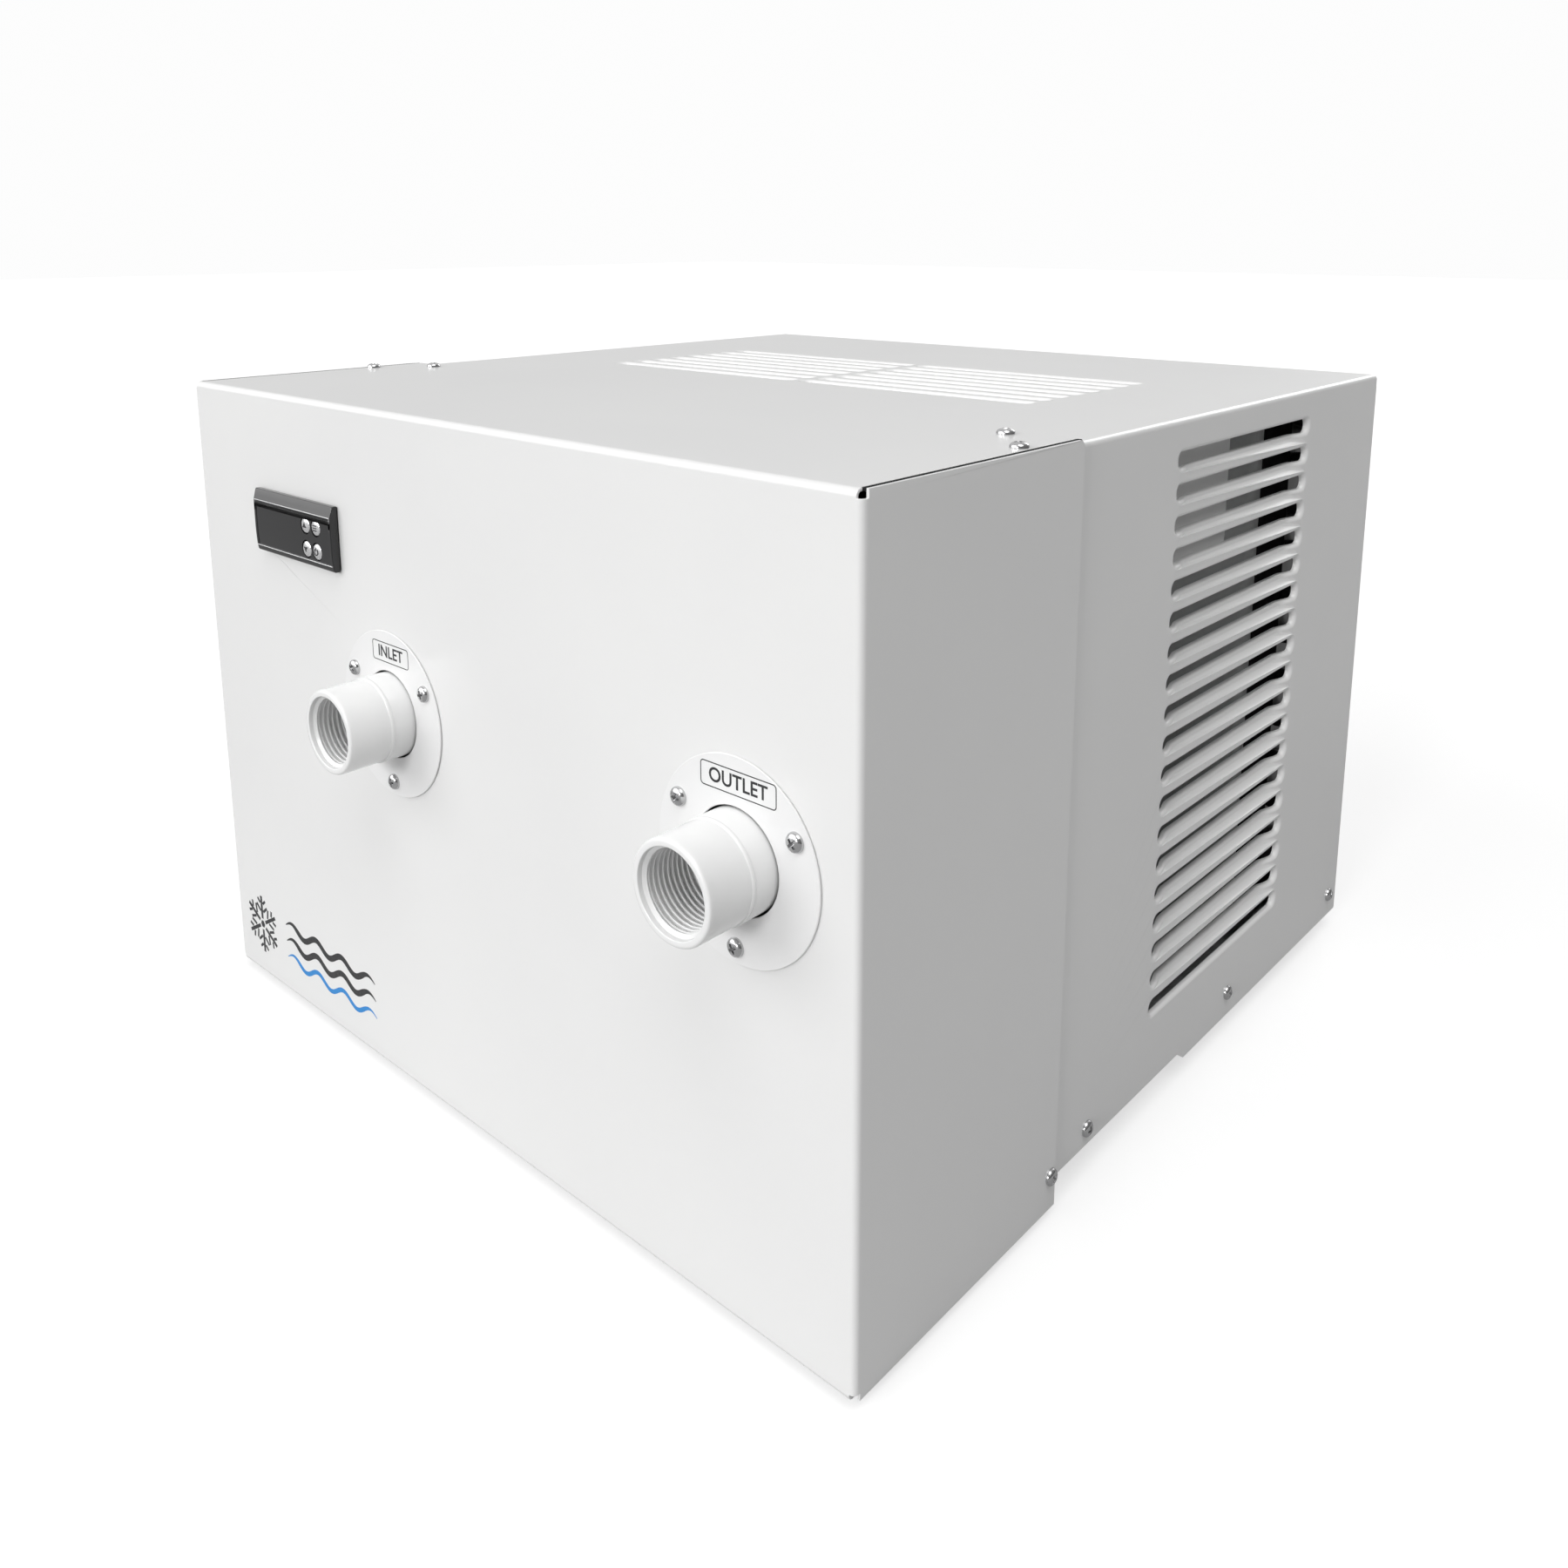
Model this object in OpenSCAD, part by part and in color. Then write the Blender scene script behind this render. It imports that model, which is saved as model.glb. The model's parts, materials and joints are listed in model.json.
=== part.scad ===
// Water chiller heat pump: a sheet-metal cabinet with two threaded water ports and a
// panel controller on its front, and a refrigeration circuit, fan and heat exchanger inside.
// X runs to the right seen from the front, the front faces -Y, Z is up.
// The origin lies under the middle of the whole object, on the floor.

/* [Casing] */
// Width of the front cover, side to side
cover_w = 457; // [450:1:470]
// Height of the front cover
cover_h = 335; // [332:1:345]
// Depth of the front cover, front face to rear edge
cover_d = 136.5; // [134:0.5:140]
// Depth of the whole casing, front face to rear face
unit_d = 466; // [464:1:480]
// Thickness of the painted sheet
sheet_t = 1.2; // [1:0.1:1.3]
// Outside radius of the sheet bends
bend_r = 2.6; // [2:0.1:3]
// Height of the cover's lower edge above the floor
cover_lift = 5; // [4:0.5:8]
// Step from the cover's top down to the cabinet's top
cabinet_step = 1.4; // [1.3:0.1:3]
// Seam between the cover's top flange and each side flange
seam_gap = 2.4; // [1.5:0.1:2.6]
// Depth of the cabinet that lies hidden under the cover
cabinet_overlap = 42; // [40:1:46]

/* [Louvres] */
// Number of slots in each side
side_slots = 19; // [10:1:19]
// Distance from slot to slot in the sides
side_pitch = 14.63; // [14:0.01:14.8]
// Length of a side slot
side_slot_l = 145.5; // [120:0.5:150]
// Front end of the side slots, behind the front face
side_slot_y = 221.5; // [200:0.5:230]
// Upper edge of the top side slot, above the cover's lower edge
side_slot_top = 320; // [310:0.5:322]
// Number of slots in each group on the top
top_slots = 8; // [4:1:8]
// Distance from slot to slot on the top
top_pitch = 15.2; // [14:0.1:16]
// Length of a top slot
top_slot_l = 145; // [120:1:148]
// Middle of the front top slot, behind the front face
top_slot_y = 227; // [215:1:235]
// Gap between the two groups on the top
top_group_gap = 6.4; // [6:0.1:12]
// Height of every slot
slot_h = 9.4; // [8:0.1:10]

/* [Water ports] */
// Inlet axis, from the cover's left edge
inlet_from_left = 177; // [170:1:185]
// Outlet axis, from the cover's left edge
outlet_from_left = 401; // [395:1:404]
// Port axes, above the cover's lower edge
port_height = 192.5; // [185:0.5:200]
// How far the fittings stand out of the front face
port_reach = 33; // [28:0.5:38]
// Radius of the fitting's bore at the thread crests, for 1 inch pipe thread
thread_r = 15.15; // [15.1:0.05:15.2]
// Length of the thread
thread_l = 22; // [18:0.5:24]
// Outside radius of the fitting's threaded end
hub_r = 19.6; // [19:0.1:20]
// Diameter of the round plate behind each fitting
plate_d = 80; // [76:1:84]
// Radius of the circle through the plate's screws
plate_screw_r = 33.3; // [32.5:0.1:34]

/* [Controller] */
// Middle of the controller, from the cover's left edge
ctl_from_left = 102.5; // [98:0.5:108]
// Middle of the controller, above the cover's lower edge
ctl_height = 270.2; // [266:0.1:274]
// Width of the controller's front
ctl_w = 74; // [74:1:75]
// Height of the controller's front
ctl_h = 32; // [32:0.5:33]
// Depth of the controller's case behind the panel
ctl_case_d = 58; // [45:1:60]
// Radius of a button
button_r = 3.9; // [3.5:0.1:4]

/* [Machinery] */
// Radius of the fan at its blade tips
fan_r = 132; // [120:1:134]
// Number of fan blades
fan_blades = 5; // [3:1:7]
// Radius of the fan motor
motor_r = 46; // [42:1:47]
// Radius of the compressor's shell
comp_r = 58; // [54:1:59]
// Tube rows up the condenser
tube_rows = 12; // [8:1:12]
// Outside radius of the heat exchanger's shell
shell_r = 44.45; // [42:0.05:44.5]

/* [Hidden] */
$fn = 48;
eps = 0.01;

// Colours
paint_white = [0.92, 0.92, 0.91];
pvc_white = [0.95, 0.95, 0.94];
zinc = [0.72, 0.73, 0.74];
steel = [0.6, 0.6, 0.62];
rubber_black = [0.06, 0.06, 0.06];
gloss_black = [0.03, 0.03, 0.035];
copper = [0.72, 0.43, 0.28];
brass = [0.78, 0.65, 0.35];
aluminium = [0.8, 0.81, 0.82];
enamel_black = [0.07, 0.07, 0.08];

// Casing, worked out. The unit's own frame has y = 0 on the front face, z = 0 on the floor.
front_y = (port_reach - unit_d) / 2;
cover_half = cover_w / 2;
cover_top = cover_lift + cover_h;
fit_gap = 0.3;
cab_half = cover_half - sheet_t - fit_gap;
cab_top = cover_top - cabinet_step;
cab_y0 = cover_d - cabinet_overlap;
cab_low_front = cover_lift + 12;
cab_low_rear = cover_lift + 7;
slot_top_z = cover_lift + side_slot_top;
notch_y = 254.5;
notch_run = 7;
return_flange = 12;
cover_lip = 12;
relief = bend_r + 0.6;
seam_x = cover_half - sheet_t - seam_gap;
bead_gap = 0.1;

// Base pan
pan_half = cab_half - sheet_t - fit_gap;
pan_y0 = 3;
pan_y1 = unit_d - 4;
pan_z = cab_low_front;
pan_floor = pan_z + sheet_t;
pan_rim_top = 40;
pan_corner_r = 4;

// Feet under the pan
foot_places = [for (x = [-190, 190], y = [42, 424]) [x, y]];
foot_r = 14;
foot_recess = 9;
foot_screw_r = 2.4;
foot_nut_r = 4.6;
foot_nut_h = 3;
foot_head_h = 1.8;

// Screws: number 8 pan heads
head_r = 3.85;
head_h = 2.4;
shank_r = 2.05;
shank_hole_r = 2.1;
cover_side_screw_y = 132.3;
cover_side_screw_z = cover_lift + 16;
cabinet_screw_ys = [165, 310.5, 452];
cabinet_screw_z = cover_lift + 20.5;
side_screw_places = concat([[cover_side_screw_y, cover_side_screw_z]],
    [for (y = cabinet_screw_ys) [y, cabinet_screw_z]]);
top_screws = [[220.5, 102], [198, 127.5]];
plate_screw_angles = [30, 150, 270];
plate_t = 1;

// Ports
inlet_x = inlet_from_left - cover_half;
outlet_x = outlet_from_left - cover_half;
port_z = cover_lift + port_height;
port_xs = [inlet_x, outlet_x];
plate_hole_r = 20.9;
panel_hole_r = 28;
pipe_r = 16.7;
pipe_bore_r = 13.3;
socket_r = pipe_r + 0.05;
fitting_tail = 24;
tail_r = 18.8;
ridge_y = -12.5;
pipe_y0 = 8;

// Heat exchanger
shell_y = 80;
shell_wall = 5;
shell_x0 = -93;
shell_x1 = 213;
branch_r = 21;
branch_y = 26;
branch_socket_y = 38;
cap_r = shell_r + 5.5;
cap_l = 24;
cap_end = 6;
coil_r = 28;
coil_tube_r = 4.75;
coil_x0 = -58;
coil_x1 = 165;
coil_turns = 11;
coil_steps = 14;
gland_y = [shell_y + coil_r, shell_y];
stand_xs = [0, 128];
stand_t = 2;
stand_half = 56;
strap_w = 20;
strap_t = 1.2;
strap_bolt_y = 51;
well_x = 60;
well_r = 6;
well_z0 = port_z + 35;
lead_r = 2;

// Partition between the water side and the machine side
wall_y = 140;
wall_half = 222;
wall_top = 332;
suction_pass = [-188, 212];
capillary_pass = [-188, 176];
wire_pass = [-95, 300];
grommet_wall = 3;
// Each pass through the partition: x, z and the radius of what goes through
passes = [[suction_pass.x, suction_pass.y, 6.35], [capillary_pass.x, capillary_pass.y, 3],
    [wire_pass.x, wire_pass.y, 4]];

// Controller
ctl_x = ctl_from_left - cover_half;
ctl_z = cover_lift + ctl_height;
cutout_w = 71;
cutout_h = 29;
gasket_t = 0.6;
bezel_edge = 3.4;
bezel_bulge = 1.2;
bezel_arc_r = (pow(ctl_h / 2, 2) + pow(bezel_bulge, 2)) / (2 * bezel_bulge);
window_w = 70;
window_top = ctl_h / 2 - 5.8;
window_bottom = 3.2 - ctl_h / 2;
window_face = 3.6;
window_t = 1.6;
button_gap = 0.3;
button_xs = [13.2, 22.8];
button_zs = [4, -7.7];
button_face = 4.9;
button_back = 0.4;
button_flange_r = button_r + 0.75;
button_flange_t = 0.9;

// Fan, motor and condenser
fan_z = 176;
fan_y = 384;
fan_hub_r = 27;
fan_hub_l = 24;
blade_pitch = 26;
blade_t = 1.8;
motor_y0 = 256;
motor_y1 = 344;
bracket_half = 52;
shaft_r = 6;
bearing_gap = 0.04;
bearing_r = 11;
bearing_l = 16;
shroud_y = 376;
shroud_half = 197;
shroud_t = 2;
shroud_z0 = 20;
shroud_z1 = 332;
throat_r = fan_r + 7;
core_y0 = 418;
core_y1 = 456;
core_half = 196;
core_z0 = 21;
core_z1 = 333;
tube_r = 4.76;
bend_tube_r = 5.2;
row_pitch = 25.4;
row_ys = [core_y0 + 8, core_y1 - 8];
end_plate_t = 1.2;
bend_start = core_half + end_plate_t + 1;

// Compressor
comp_x = -130;
comp_y = 265;
comp_z0 = 34;
comp_z1 = 238;
comp_wall = 3;
comp_dome_r = 80;
comp_base_z = 30;
comp_base_t = 3;
stud_circle = 78;
stud_angles = [90, 210, 330];
stud_r = 3;
grommet_bore_r = 3.3;
grommet_r = 8;
ear_r = 17;
comp_foot_r = 32;
accu_x = -158;
accu_y = 180;
accu_r = 24;
accu_z0 = 74;
accu_z1 = 196;
accu_dome_r = 36;
accu_elbow_z = 62;
accu_gap = norm([comp_x - accu_x, comp_y - accu_y]) - comp_r - 0.1;
accu_reach = accu_gap * [comp_x - accu_x, comp_y - accu_y, 0] / norm([comp_x - accu_x, comp_y - accu_y]);
crank_r = 8;
pump_z0 = 60;
pump_z1 = 104;
chamber_r = 26;
chamber_z0 = 66;
chamber_z1 = 92;
crank_offset = 4.6;
roller_r = 21;
stator_z0 = 124;
stator_z1 = 196;
stator_bore_r = 31;

// Refrigerant lines, and where the hot gas enters the condenser and the liquid leaves it
suction_r = 6;
line_r = 4.76;
liquid_r = 4;
capillary_r = 1.6;
hot_in = [-bend_start - 0.1, row_ys[1], tube_z(tube_rows - 1, 1)];
liquid_out = [-bend_start - 0.1, row_ys[0], tube_z(tube_rows - 1, 0)];
hot_line_x = -214;
hot_line_z = 328;
drier_x = -209;
drier_y = 322;
drier_r = 10;
drier_z0 = 170;
drier_z1 = 262;
loop_r = 13;
loop_turns = 3;
loop_x = -205;
loop_y = 230;
loop_z = 150;

// Electrical box
box_x0 = 90;
box_x1 = 214;
box_y0 = wall_y + sheet_t;
box_y1 = 210;
box_z0 = 176;
box_z1 = 320;
box_t = 1;
bay_x0 = 150;
bay_y1 = 302;
bay_z0 = 259;
cap_can_r = 22;

// Cord entry in the left side of the cabinet
entry_y = 178;
entry_z = 62;
entry_bore_r = 4.6;

// Places children in the unit's own frame
module in_unit() {
    translate([0, front_y, 0]) children();
}

// Extrudes a profile drawn in (Y, Z) along X, centred
module along_x(length) {
    rotate([90, 0, 90]) linear_extrude(length, center = true) children();
}

// Extrudes a profile drawn in (X, Z) along Y, from y0 to y1
module along_y(y0, y1) {
    translate([0, y1, 0]) rotate([90, 0, 0]) linear_extrude(y1 - y0) children();
}

// A cylinder along Y from y0 to y1, at x and z
module rod_y(x, z, r, y0, y1) {
    translate([x, y0, z]) rotate([-90, 0, 0]) cylinder(r = r, h = y1 - y0);
}

// A cylinder along X from x0 to x1, at y and z
module rod_x(y, z, r, x0, x1) {
    translate([x0, y, z]) rotate([0, 90, 0]) cylinder(r = r, h = x1 - x0);
}

// A cylinder along Z from z0 to z1, at x and y
module rod_z(x, y, r, z0, z1) {
    translate([x, y, z0]) cylinder(r = r, h = z1 - z0);
}

// A box between two corners
module block(a, b) {
    translate(a) cube(b - a);
}

// A rectangle with round corners, centred
module round_rect(w, h, r) {
    square([w - 2 * r, h], center = true);
    square([w, h - 2 * r], center = true);
    for (sx = [-1, 1], sy = [-1, 1])
        translate([sx * (w / 2 - r), sy * (h / 2 - r)]) circle(r = r);
}

// The outline of bent sheet: a rounded rectangle with a wall of one thickness
module bent_ring(w, h, r) {
    difference() {
        round_rect(w, h, r);
        round_rect(w - 2 * sheet_t, h - 2 * sheet_t, r - sheet_t);
    }
}

// A slot with round ends, l long and slot_h high
module slot_outline(l) {
    round_rect(l, slot_h, slot_h / 2 - 0.5);
}

// Pan head screw on the origin, head towards +Z, shank down to -length
module pan_screw(length) {
    recess_w = 0.9;
    recess_l = 4;
    dome_r = 5;
    difference() {
        intersection() {
            cylinder(r = head_r, h = head_h);
            translate([0, 0, head_h - dome_r]) sphere(r = dome_r);
        }
        for (turn = [0, 90])
            rotate(turn) translate([-recess_l / 2, -recess_w / 2, 1]) cube([recess_l, recess_w, head_h]);
    }
    translate([0, 0, -length]) cylinder(r = shank_r, h = length + eps);
}

// Points along a path with its corners rounded by a curve of reach r in n steps
function unit_vec(v) = v / norm(v);
function corner(a, b, c, r, n) = let (s = b + r * unit_vec(a - b), e = b + r * unit_vec(c - b))
    [for (i = [0:n]) let (t = i / n) (1 - t) * (1 - t) * s + 2 * t * (1 - t) * b + t * t * e];
function rounded(p, r, n = 6) = concat([p[0]],
    [for (i = [1:len(p) - 2]) each corner(p[i - 1], p[i], p[i + 1], r, n)], [p[len(p) - 1]]);
function tangents(p) = [for (i = [0:len(p) - 1])
    unit_vec(p[min(i + 1, len(p) - 1)] - p[max(i - 1, 0)])];
function across(n, t) = unit_vec(n - (n * t) * t);
function normals(t, n, i = 0, done = []) = i == len(t) ? done :
    let (m = across(n, t[i])) normals(t, m, i + 1, concat(done, [m]));

// A solid round tube of radius r swept along points p, with the given number of sides
module sweep(p, r, sides = 10) {
    t = tangents(p);
    start = abs(t[0].z) < 0.9 ? [0, 0, 1] : [1, 0, 0];
    n = normals(t, start);
    rings = [for (i = [0:len(p) - 1], k = [0:sides - 1]) let (a = 360 * k / sides)
        p[i] + r * (cos(a) * n[i] + sin(a) * cross(t[i], n[i]))];
    walls = [for (i = [0:len(p) - 2], k = [0:sides - 1]) let (j = (k + 1) % sides)
        [i * sides + k, (i + 1) * sides + k, (i + 1) * sides + j, i * sides + j]];
    first = [for (k = [0:sides - 1]) k];
    last = [for (k = [sides - 1:-1:0]) (len(p) - 1) * sides + k];
    polyhedron(points = rings, faces = concat(walls, [first, last]), convexity = 10);
}

// ---- Casing ----

// Front panel, top flange and bottom lip, bent from one strip
module cover_strip() {
    along_x(cover_w - 2 * bend_r) intersection() {
        translate([cover_d, cover_lift + cover_h / 2]) bent_ring(2 * cover_d, cover_h, bend_r);
        union() {
            translate([0, cover_lift + cover_h / 2]) square([cover_d, cover_h]);
            translate([0, cover_lift]) square([cover_lip, cover_h]);
        }
    }
}

// Front panel with its side bends, and the side flanges up to the top
module cover_wrap() {
    translate([0, 0, cover_lift]) linear_extrude(cover_h - relief) intersection() {
        translate([0, cover_d]) bent_ring(cover_w, 2 * cover_d, bend_r);
        translate([-cover_half, 0]) square([cover_w, cover_d]);
    }
    for (side = [-1, 1])
        translate([side * (cover_half - sheet_t / 2), (relief + cover_d) / 2, cover_top - cover_h / 2])
            cube([sheet_t, cover_d - relief, cover_h], center = true);
}

module front_cover() color(paint_white) in_unit() difference() {
    union() {
        cover_strip();
        cover_wrap();
    }
    for (x = port_xs) {
        rod_y(x, port_z, panel_hole_r, -1, sheet_t + 1);
        for (a = plate_screw_angles)
            rod_y(x + plate_screw_r * cos(a), port_z + plate_screw_r * sin(a), shank_hole_r, -1, 3);
    }
    translate([ctl_x, 0, ctl_z]) cube([cutout_w, 4 * sheet_t, cutout_h], center = true);
    top_seams(0, cover_d + 1, cover_top - 2 * sheet_t, cover_top + 1);
    panel_screw_holes();
}

// The space of the two seams beside the top flange, back to y1 and from z0 to z1, less a clearance
module top_seams(clearance, y1, z0, z1) for (side = [0, 1])
    mirror([side, 0, 0]) block([seam_x + clearance, relief + clearance, z0],
        [seam_x + seam_gap - clearance, y1, z1]);

// Side view of what is cut from the cabinet's lower edge
module cabinet_notch() {
    polygon([[0, 0], [0, cab_low_front], [notch_y, cab_low_front],
        [notch_y + notch_run, cab_low_rear], [unit_d + 1, cab_low_rear], [unit_d + 1, 0]]);
}

module rear_cabinet() color(paint_white) in_unit() difference() {
    union() {
        along_y(cab_y0, unit_d) intersection() {
            bent_ring(2 * cab_half, 2 * cab_top, bend_r);
            translate([-cab_half, 0]) square([2 * cab_half, cab_top]);
        }
        along_y(unit_d - sheet_t, unit_d) intersection() {
            difference() {
                round_rect(2 * cab_half, 2 * cab_top, bend_r);
                square([2 * (cab_half - return_flange), 2 * (cab_top - return_flange)], center = true);
            }
            translate([-cab_half, 0]) square([2 * cab_half, cab_top]);
        }
    }
    along_x(cover_w) cabinet_notch();
    for (i = [0:side_slots - 1])
        translate([0, side_slot_y + side_slot_l / 2, slot_top_z - slot_h / 2 - i * side_pitch])
            along_x(cover_w) slot_outline(side_slot_l);
    for (side = [-1, 1], i = [0:top_slots - 1])
        translate([side * (top_slot_l + top_group_gap) / 2, top_slot_y + i * top_pitch, cab_top - 5])
            linear_extrude(10) slot_outline(top_slot_l);
    rod_x(entry_y, entry_z, 8, -cover_half - 1, -cab_half + 3);
    panel_screw_holes();
}

module base_pan() color(zinc) in_unit() difference() {
    translate([0, (pan_y0 + pan_y1) / 2, pan_z]) linear_extrude(pan_rim_top - pan_z)
        round_rect(2 * pan_half, pan_y1 - pan_y0, pan_corner_r);
    translate([0, (pan_y0 + pan_y1) / 2, pan_floor]) linear_extrude(pan_rim_top)
        round_rect(2 * (pan_half - sheet_t), pan_y1 - pan_y0 - 2 * sheet_t, pan_corner_r - sheet_t);
    for (p = foot_places)
        rod_z(p.x, p.y, foot_screw_r + 0.2, pan_z - 1, pan_floor + 1);
    stud_places() rod_z(0, 0, stud_r + 0.05, pan_z - 1, pan_floor + 1);
    panel_screw_holes();
}

// Every hole that a panel screw passes through
module panel_screw_holes() {
    for (side = [-1, 1]) {
        for (p = top_screws)
            rod_z(side * p.x, p.y, shank_hole_r, cab_top - 5, cover_top + 1);
        for (p = side_screw_places)
            translate([side * (cover_half - 4), p.x, p.y]) rotate([0, 90, 0])
                cylinder(r = shank_hole_r, h = 12, center = true);
    }
}

module panel_screws() color(zinc) in_unit() for (side = [-1, 1]) {
    for (p = top_screws)
        translate([side * p.x, p.y, cover_top]) pan_screw(7);
    for (i = [0:len(side_screw_places) - 1])
        let (p = side_screw_places[i], x = i == 0 ? cover_half : cab_half)
            translate([side * x, p.x, p.y]) rotate([0, side * 90, 0]) pan_screw(8);
}

// A flat strip between cover and cabinet, and a bead in each seam beside the top flange
module cover_gasket() color(rubber_black) in_unit() {
    difference() {
        block([bend_r - cab_half, cab_y0 + 1, cab_top],
            [cab_half - bend_r, cover_d - 2, cover_top - sheet_t]);
        panel_screw_holes();
    }
    top_seams(bead_gap, cover_d - bead_gap, cab_top + bead_gap, cover_top - bead_gap);
}

module rubber_feet() color(rubber_black) in_unit() for (p = foot_places) difference() {
    rod_z(p.x, p.y, foot_r, 0, pan_z);
    rod_z(p.x, p.y, foot_r / 2, -1, foot_recess);
    rod_z(p.x, p.y, foot_screw_r + 0.2, 0, pan_z + 1);
}

module foot_screws() color(zinc) in_unit() for (p = foot_places) {
    translate([p.x, p.y, foot_recess - foot_nut_h]) cylinder(r = foot_nut_r, h = foot_nut_h, $fn = 6);
    rod_z(p.x, p.y, foot_screw_r, foot_recess - eps, pan_floor + eps);
    rod_z(p.x, p.y, foot_nut_r, pan_floor, pan_floor + foot_head_h);
}

module partition() color(zinc) in_unit() difference() {
    union() {
        block([-wall_half, wall_y, pan_floor], [wall_half, wall_y + sheet_t, wall_top]);
        block([-wall_half, wall_y, pan_floor], [wall_half, wall_y + cover_lip, pan_floor + sheet_t]);
        block([-wall_half, wall_y, wall_top - sheet_t], [wall_half, wall_y + cover_lip, wall_top]);
    }
    for (p = passes)
        rod_y(p.x, p.y, p.z + grommet_wall, wall_y - 1, wall_y + 3);
}

module partition_grommets() color(rubber_black) in_unit() for (p = passes) difference() {
    union() {
        rod_y(p.x, p.y, p.z + grommet_wall - 0.05, wall_y - 2, wall_y + sheet_t + 2);
        rod_y(p.x, p.y, p.z + grommet_wall + 2, wall_y - 2, wall_y);
        rod_y(p.x, p.y, p.z + grommet_wall + 2, wall_y + sheet_t, wall_y + sheet_t + 2);
    }
    rod_y(p.x, p.y, p.z + 0.1, wall_y - 3, wall_y + sheet_t + 3);
}

module power_grommet() color(rubber_black) in_unit() difference() {
    union() {
        rod_x(entry_y, entry_z, 7.9, -cab_half - 2, -cab_half + sheet_t + 12);
        rod_x(entry_y, entry_z, 11, -cab_half - 2, -cab_half);
        rod_x(entry_y, entry_z, 10, -cab_half + sheet_t, -cab_half + sheet_t + 3);
    }
    rod_x(entry_y, entry_z, entry_bore_r, -cab_half - 3, -cab_half + sheet_t + 13);
}

// ---- Water ports ----

module port_plate(x) color(paint_white) in_unit() difference() {
    rod_y(x, port_z, plate_d / 2, -plate_t, 0);
    rod_y(x, port_z, plate_hole_r, -plate_t - 1, 1);
    for (a = plate_screw_angles)
        rod_y(x + plate_screw_r * cos(a), port_z + plate_screw_r * sin(a), shank_hole_r, -3, 1);
}

module inlet_plate() port_plate(inlet_x);
module outlet_plate() port_plate(outlet_x);

module port_plate_screws() color(zinc) in_unit() for (x = port_xs, a = plate_screw_angles)
    translate([x + plate_screw_r * cos(a), -plate_t, port_z + plate_screw_r * sin(a)])
        rotate([90, 0, 0]) rotate(a) pan_screw(8);

module port_fitting(x) color(pvc_white) in_unit() difference() {
    union() {
        rod_y(x, port_z, hub_r, -port_reach, ridge_y);
        rod_y(x, port_z, hub_r + 0.5, ridge_y, ridge_y + 1.2);
        rod_y(x, port_z, tail_r, ridge_y, fitting_tail);
    }
    rod_y(x, port_z, thread_r, -port_reach - 1, thread_l - port_reach);
    rod_y(x, port_z, pipe_bore_r, thread_l - port_reach - 1, pipe_y0 + 1);
    rod_y(x, port_z, socket_r, pipe_y0, fitting_tail + 1);
}

module inlet_fitting() port_fitting(inlet_x);
module outlet_fitting() port_fitting(outlet_x);

module port_pipe(x) color(pvc_white) in_unit() difference() {
    rod_y(x, port_z, pipe_r, pipe_y0, branch_socket_y);
    rod_y(x, port_z, pipe_bore_r, pipe_y0 - 1, branch_socket_y + 1);
}

module inlet_pipe() port_pipe(inlet_x);
module outlet_pipe() port_pipe(outlet_x);

// ---- Heat exchanger ----

module exchanger_shell() color(pvc_white) in_unit() difference() {
    union() {
        rod_x(shell_y, port_z, shell_r, shell_x0, shell_x1);
        for (x = port_xs)
            rod_y(x, port_z, branch_r, branch_y, shell_y - 20);
    }
    rod_x(shell_y, port_z, shell_r - shell_wall, shell_x0 - 1, shell_x1 + 1);
    for (x = port_xs) {
        rod_y(x, port_z, socket_r, branch_y - 1, branch_socket_y);
        rod_y(x, port_z, pipe_bore_r, branch_socket_y - 1, shell_y - 18);
    }
    rod_z(well_x, shell_y, well_r + 0.05, port_z, port_z + shell_r + 5);
}

module exchanger_caps() color(pvc_white) in_unit() difference() {
    union() {
        rod_x(shell_y, port_z, cap_r, shell_x0 - cap_end, shell_x0 - cap_end + cap_l);
        rod_x(shell_y, port_z, cap_r, shell_x1 + cap_end - cap_l, shell_x1 + cap_end);
    }
    rod_x(shell_y, port_z, shell_r + 0.05, shell_x0, shell_x1);
    for (y = gland_y)
        rod_x(y, port_z, coil_tube_r + 1.25, shell_x0 - cap_end - 1, shell_x0 + 1);
}

// Helix inside the shell, back along its middle, both ends out through the left cap
coil_path = let (n = coil_turns * coil_steps) concat(
    [[shell_x0 - 30, gland_y[0], port_z], [shell_x0, gland_y[0], port_z]],
    [for (i = [0:n]) let (a = 360 * i / coil_steps)
        [coil_x0 + (coil_x1 - coil_x0) * i / n, shell_y + coil_r * cos(a), port_z + coil_r * sin(a)]],
    corner([coil_x1, shell_y + coil_r, port_z], [coil_x1 + 22, shell_y + coil_r / 2, port_z],
        [coil_x1, shell_y, port_z], 14, 6),
    [[coil_x1 - 14, shell_y, port_z], [shell_x0 - 30, shell_y, port_z]]);

module titanium_coil() color(steel) in_unit() sweep(coil_path, coil_tube_r, 8);

module coil_glands() color(brass) in_unit() for (y = gland_y) difference() {
    union() {
        translate([shell_x0 - cap_end - 9, y, port_z]) rotate([0, 90, 0]) cylinder(r = 9.5, h = 9, $fn = 6);
        rod_x(y, port_z, coil_tube_r + 1.2, shell_x0 - cap_end - 1, shell_x0);
    }
    rod_x(y, port_z, coil_tube_r + 0.05, shell_x0 - cap_end - 20, shell_x0 + 5);
}

// A flat of the strap's width on each side of the shell, from z0 up to z1
module strap_ears(x, z0, z1) {
    for (end = [-1, 1])
        translate([x, shell_y + end * strap_bolt_y, (z0 + z1) / 2])
            cube([strap_w, 10, z1 - z0], center = true);
}

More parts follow.
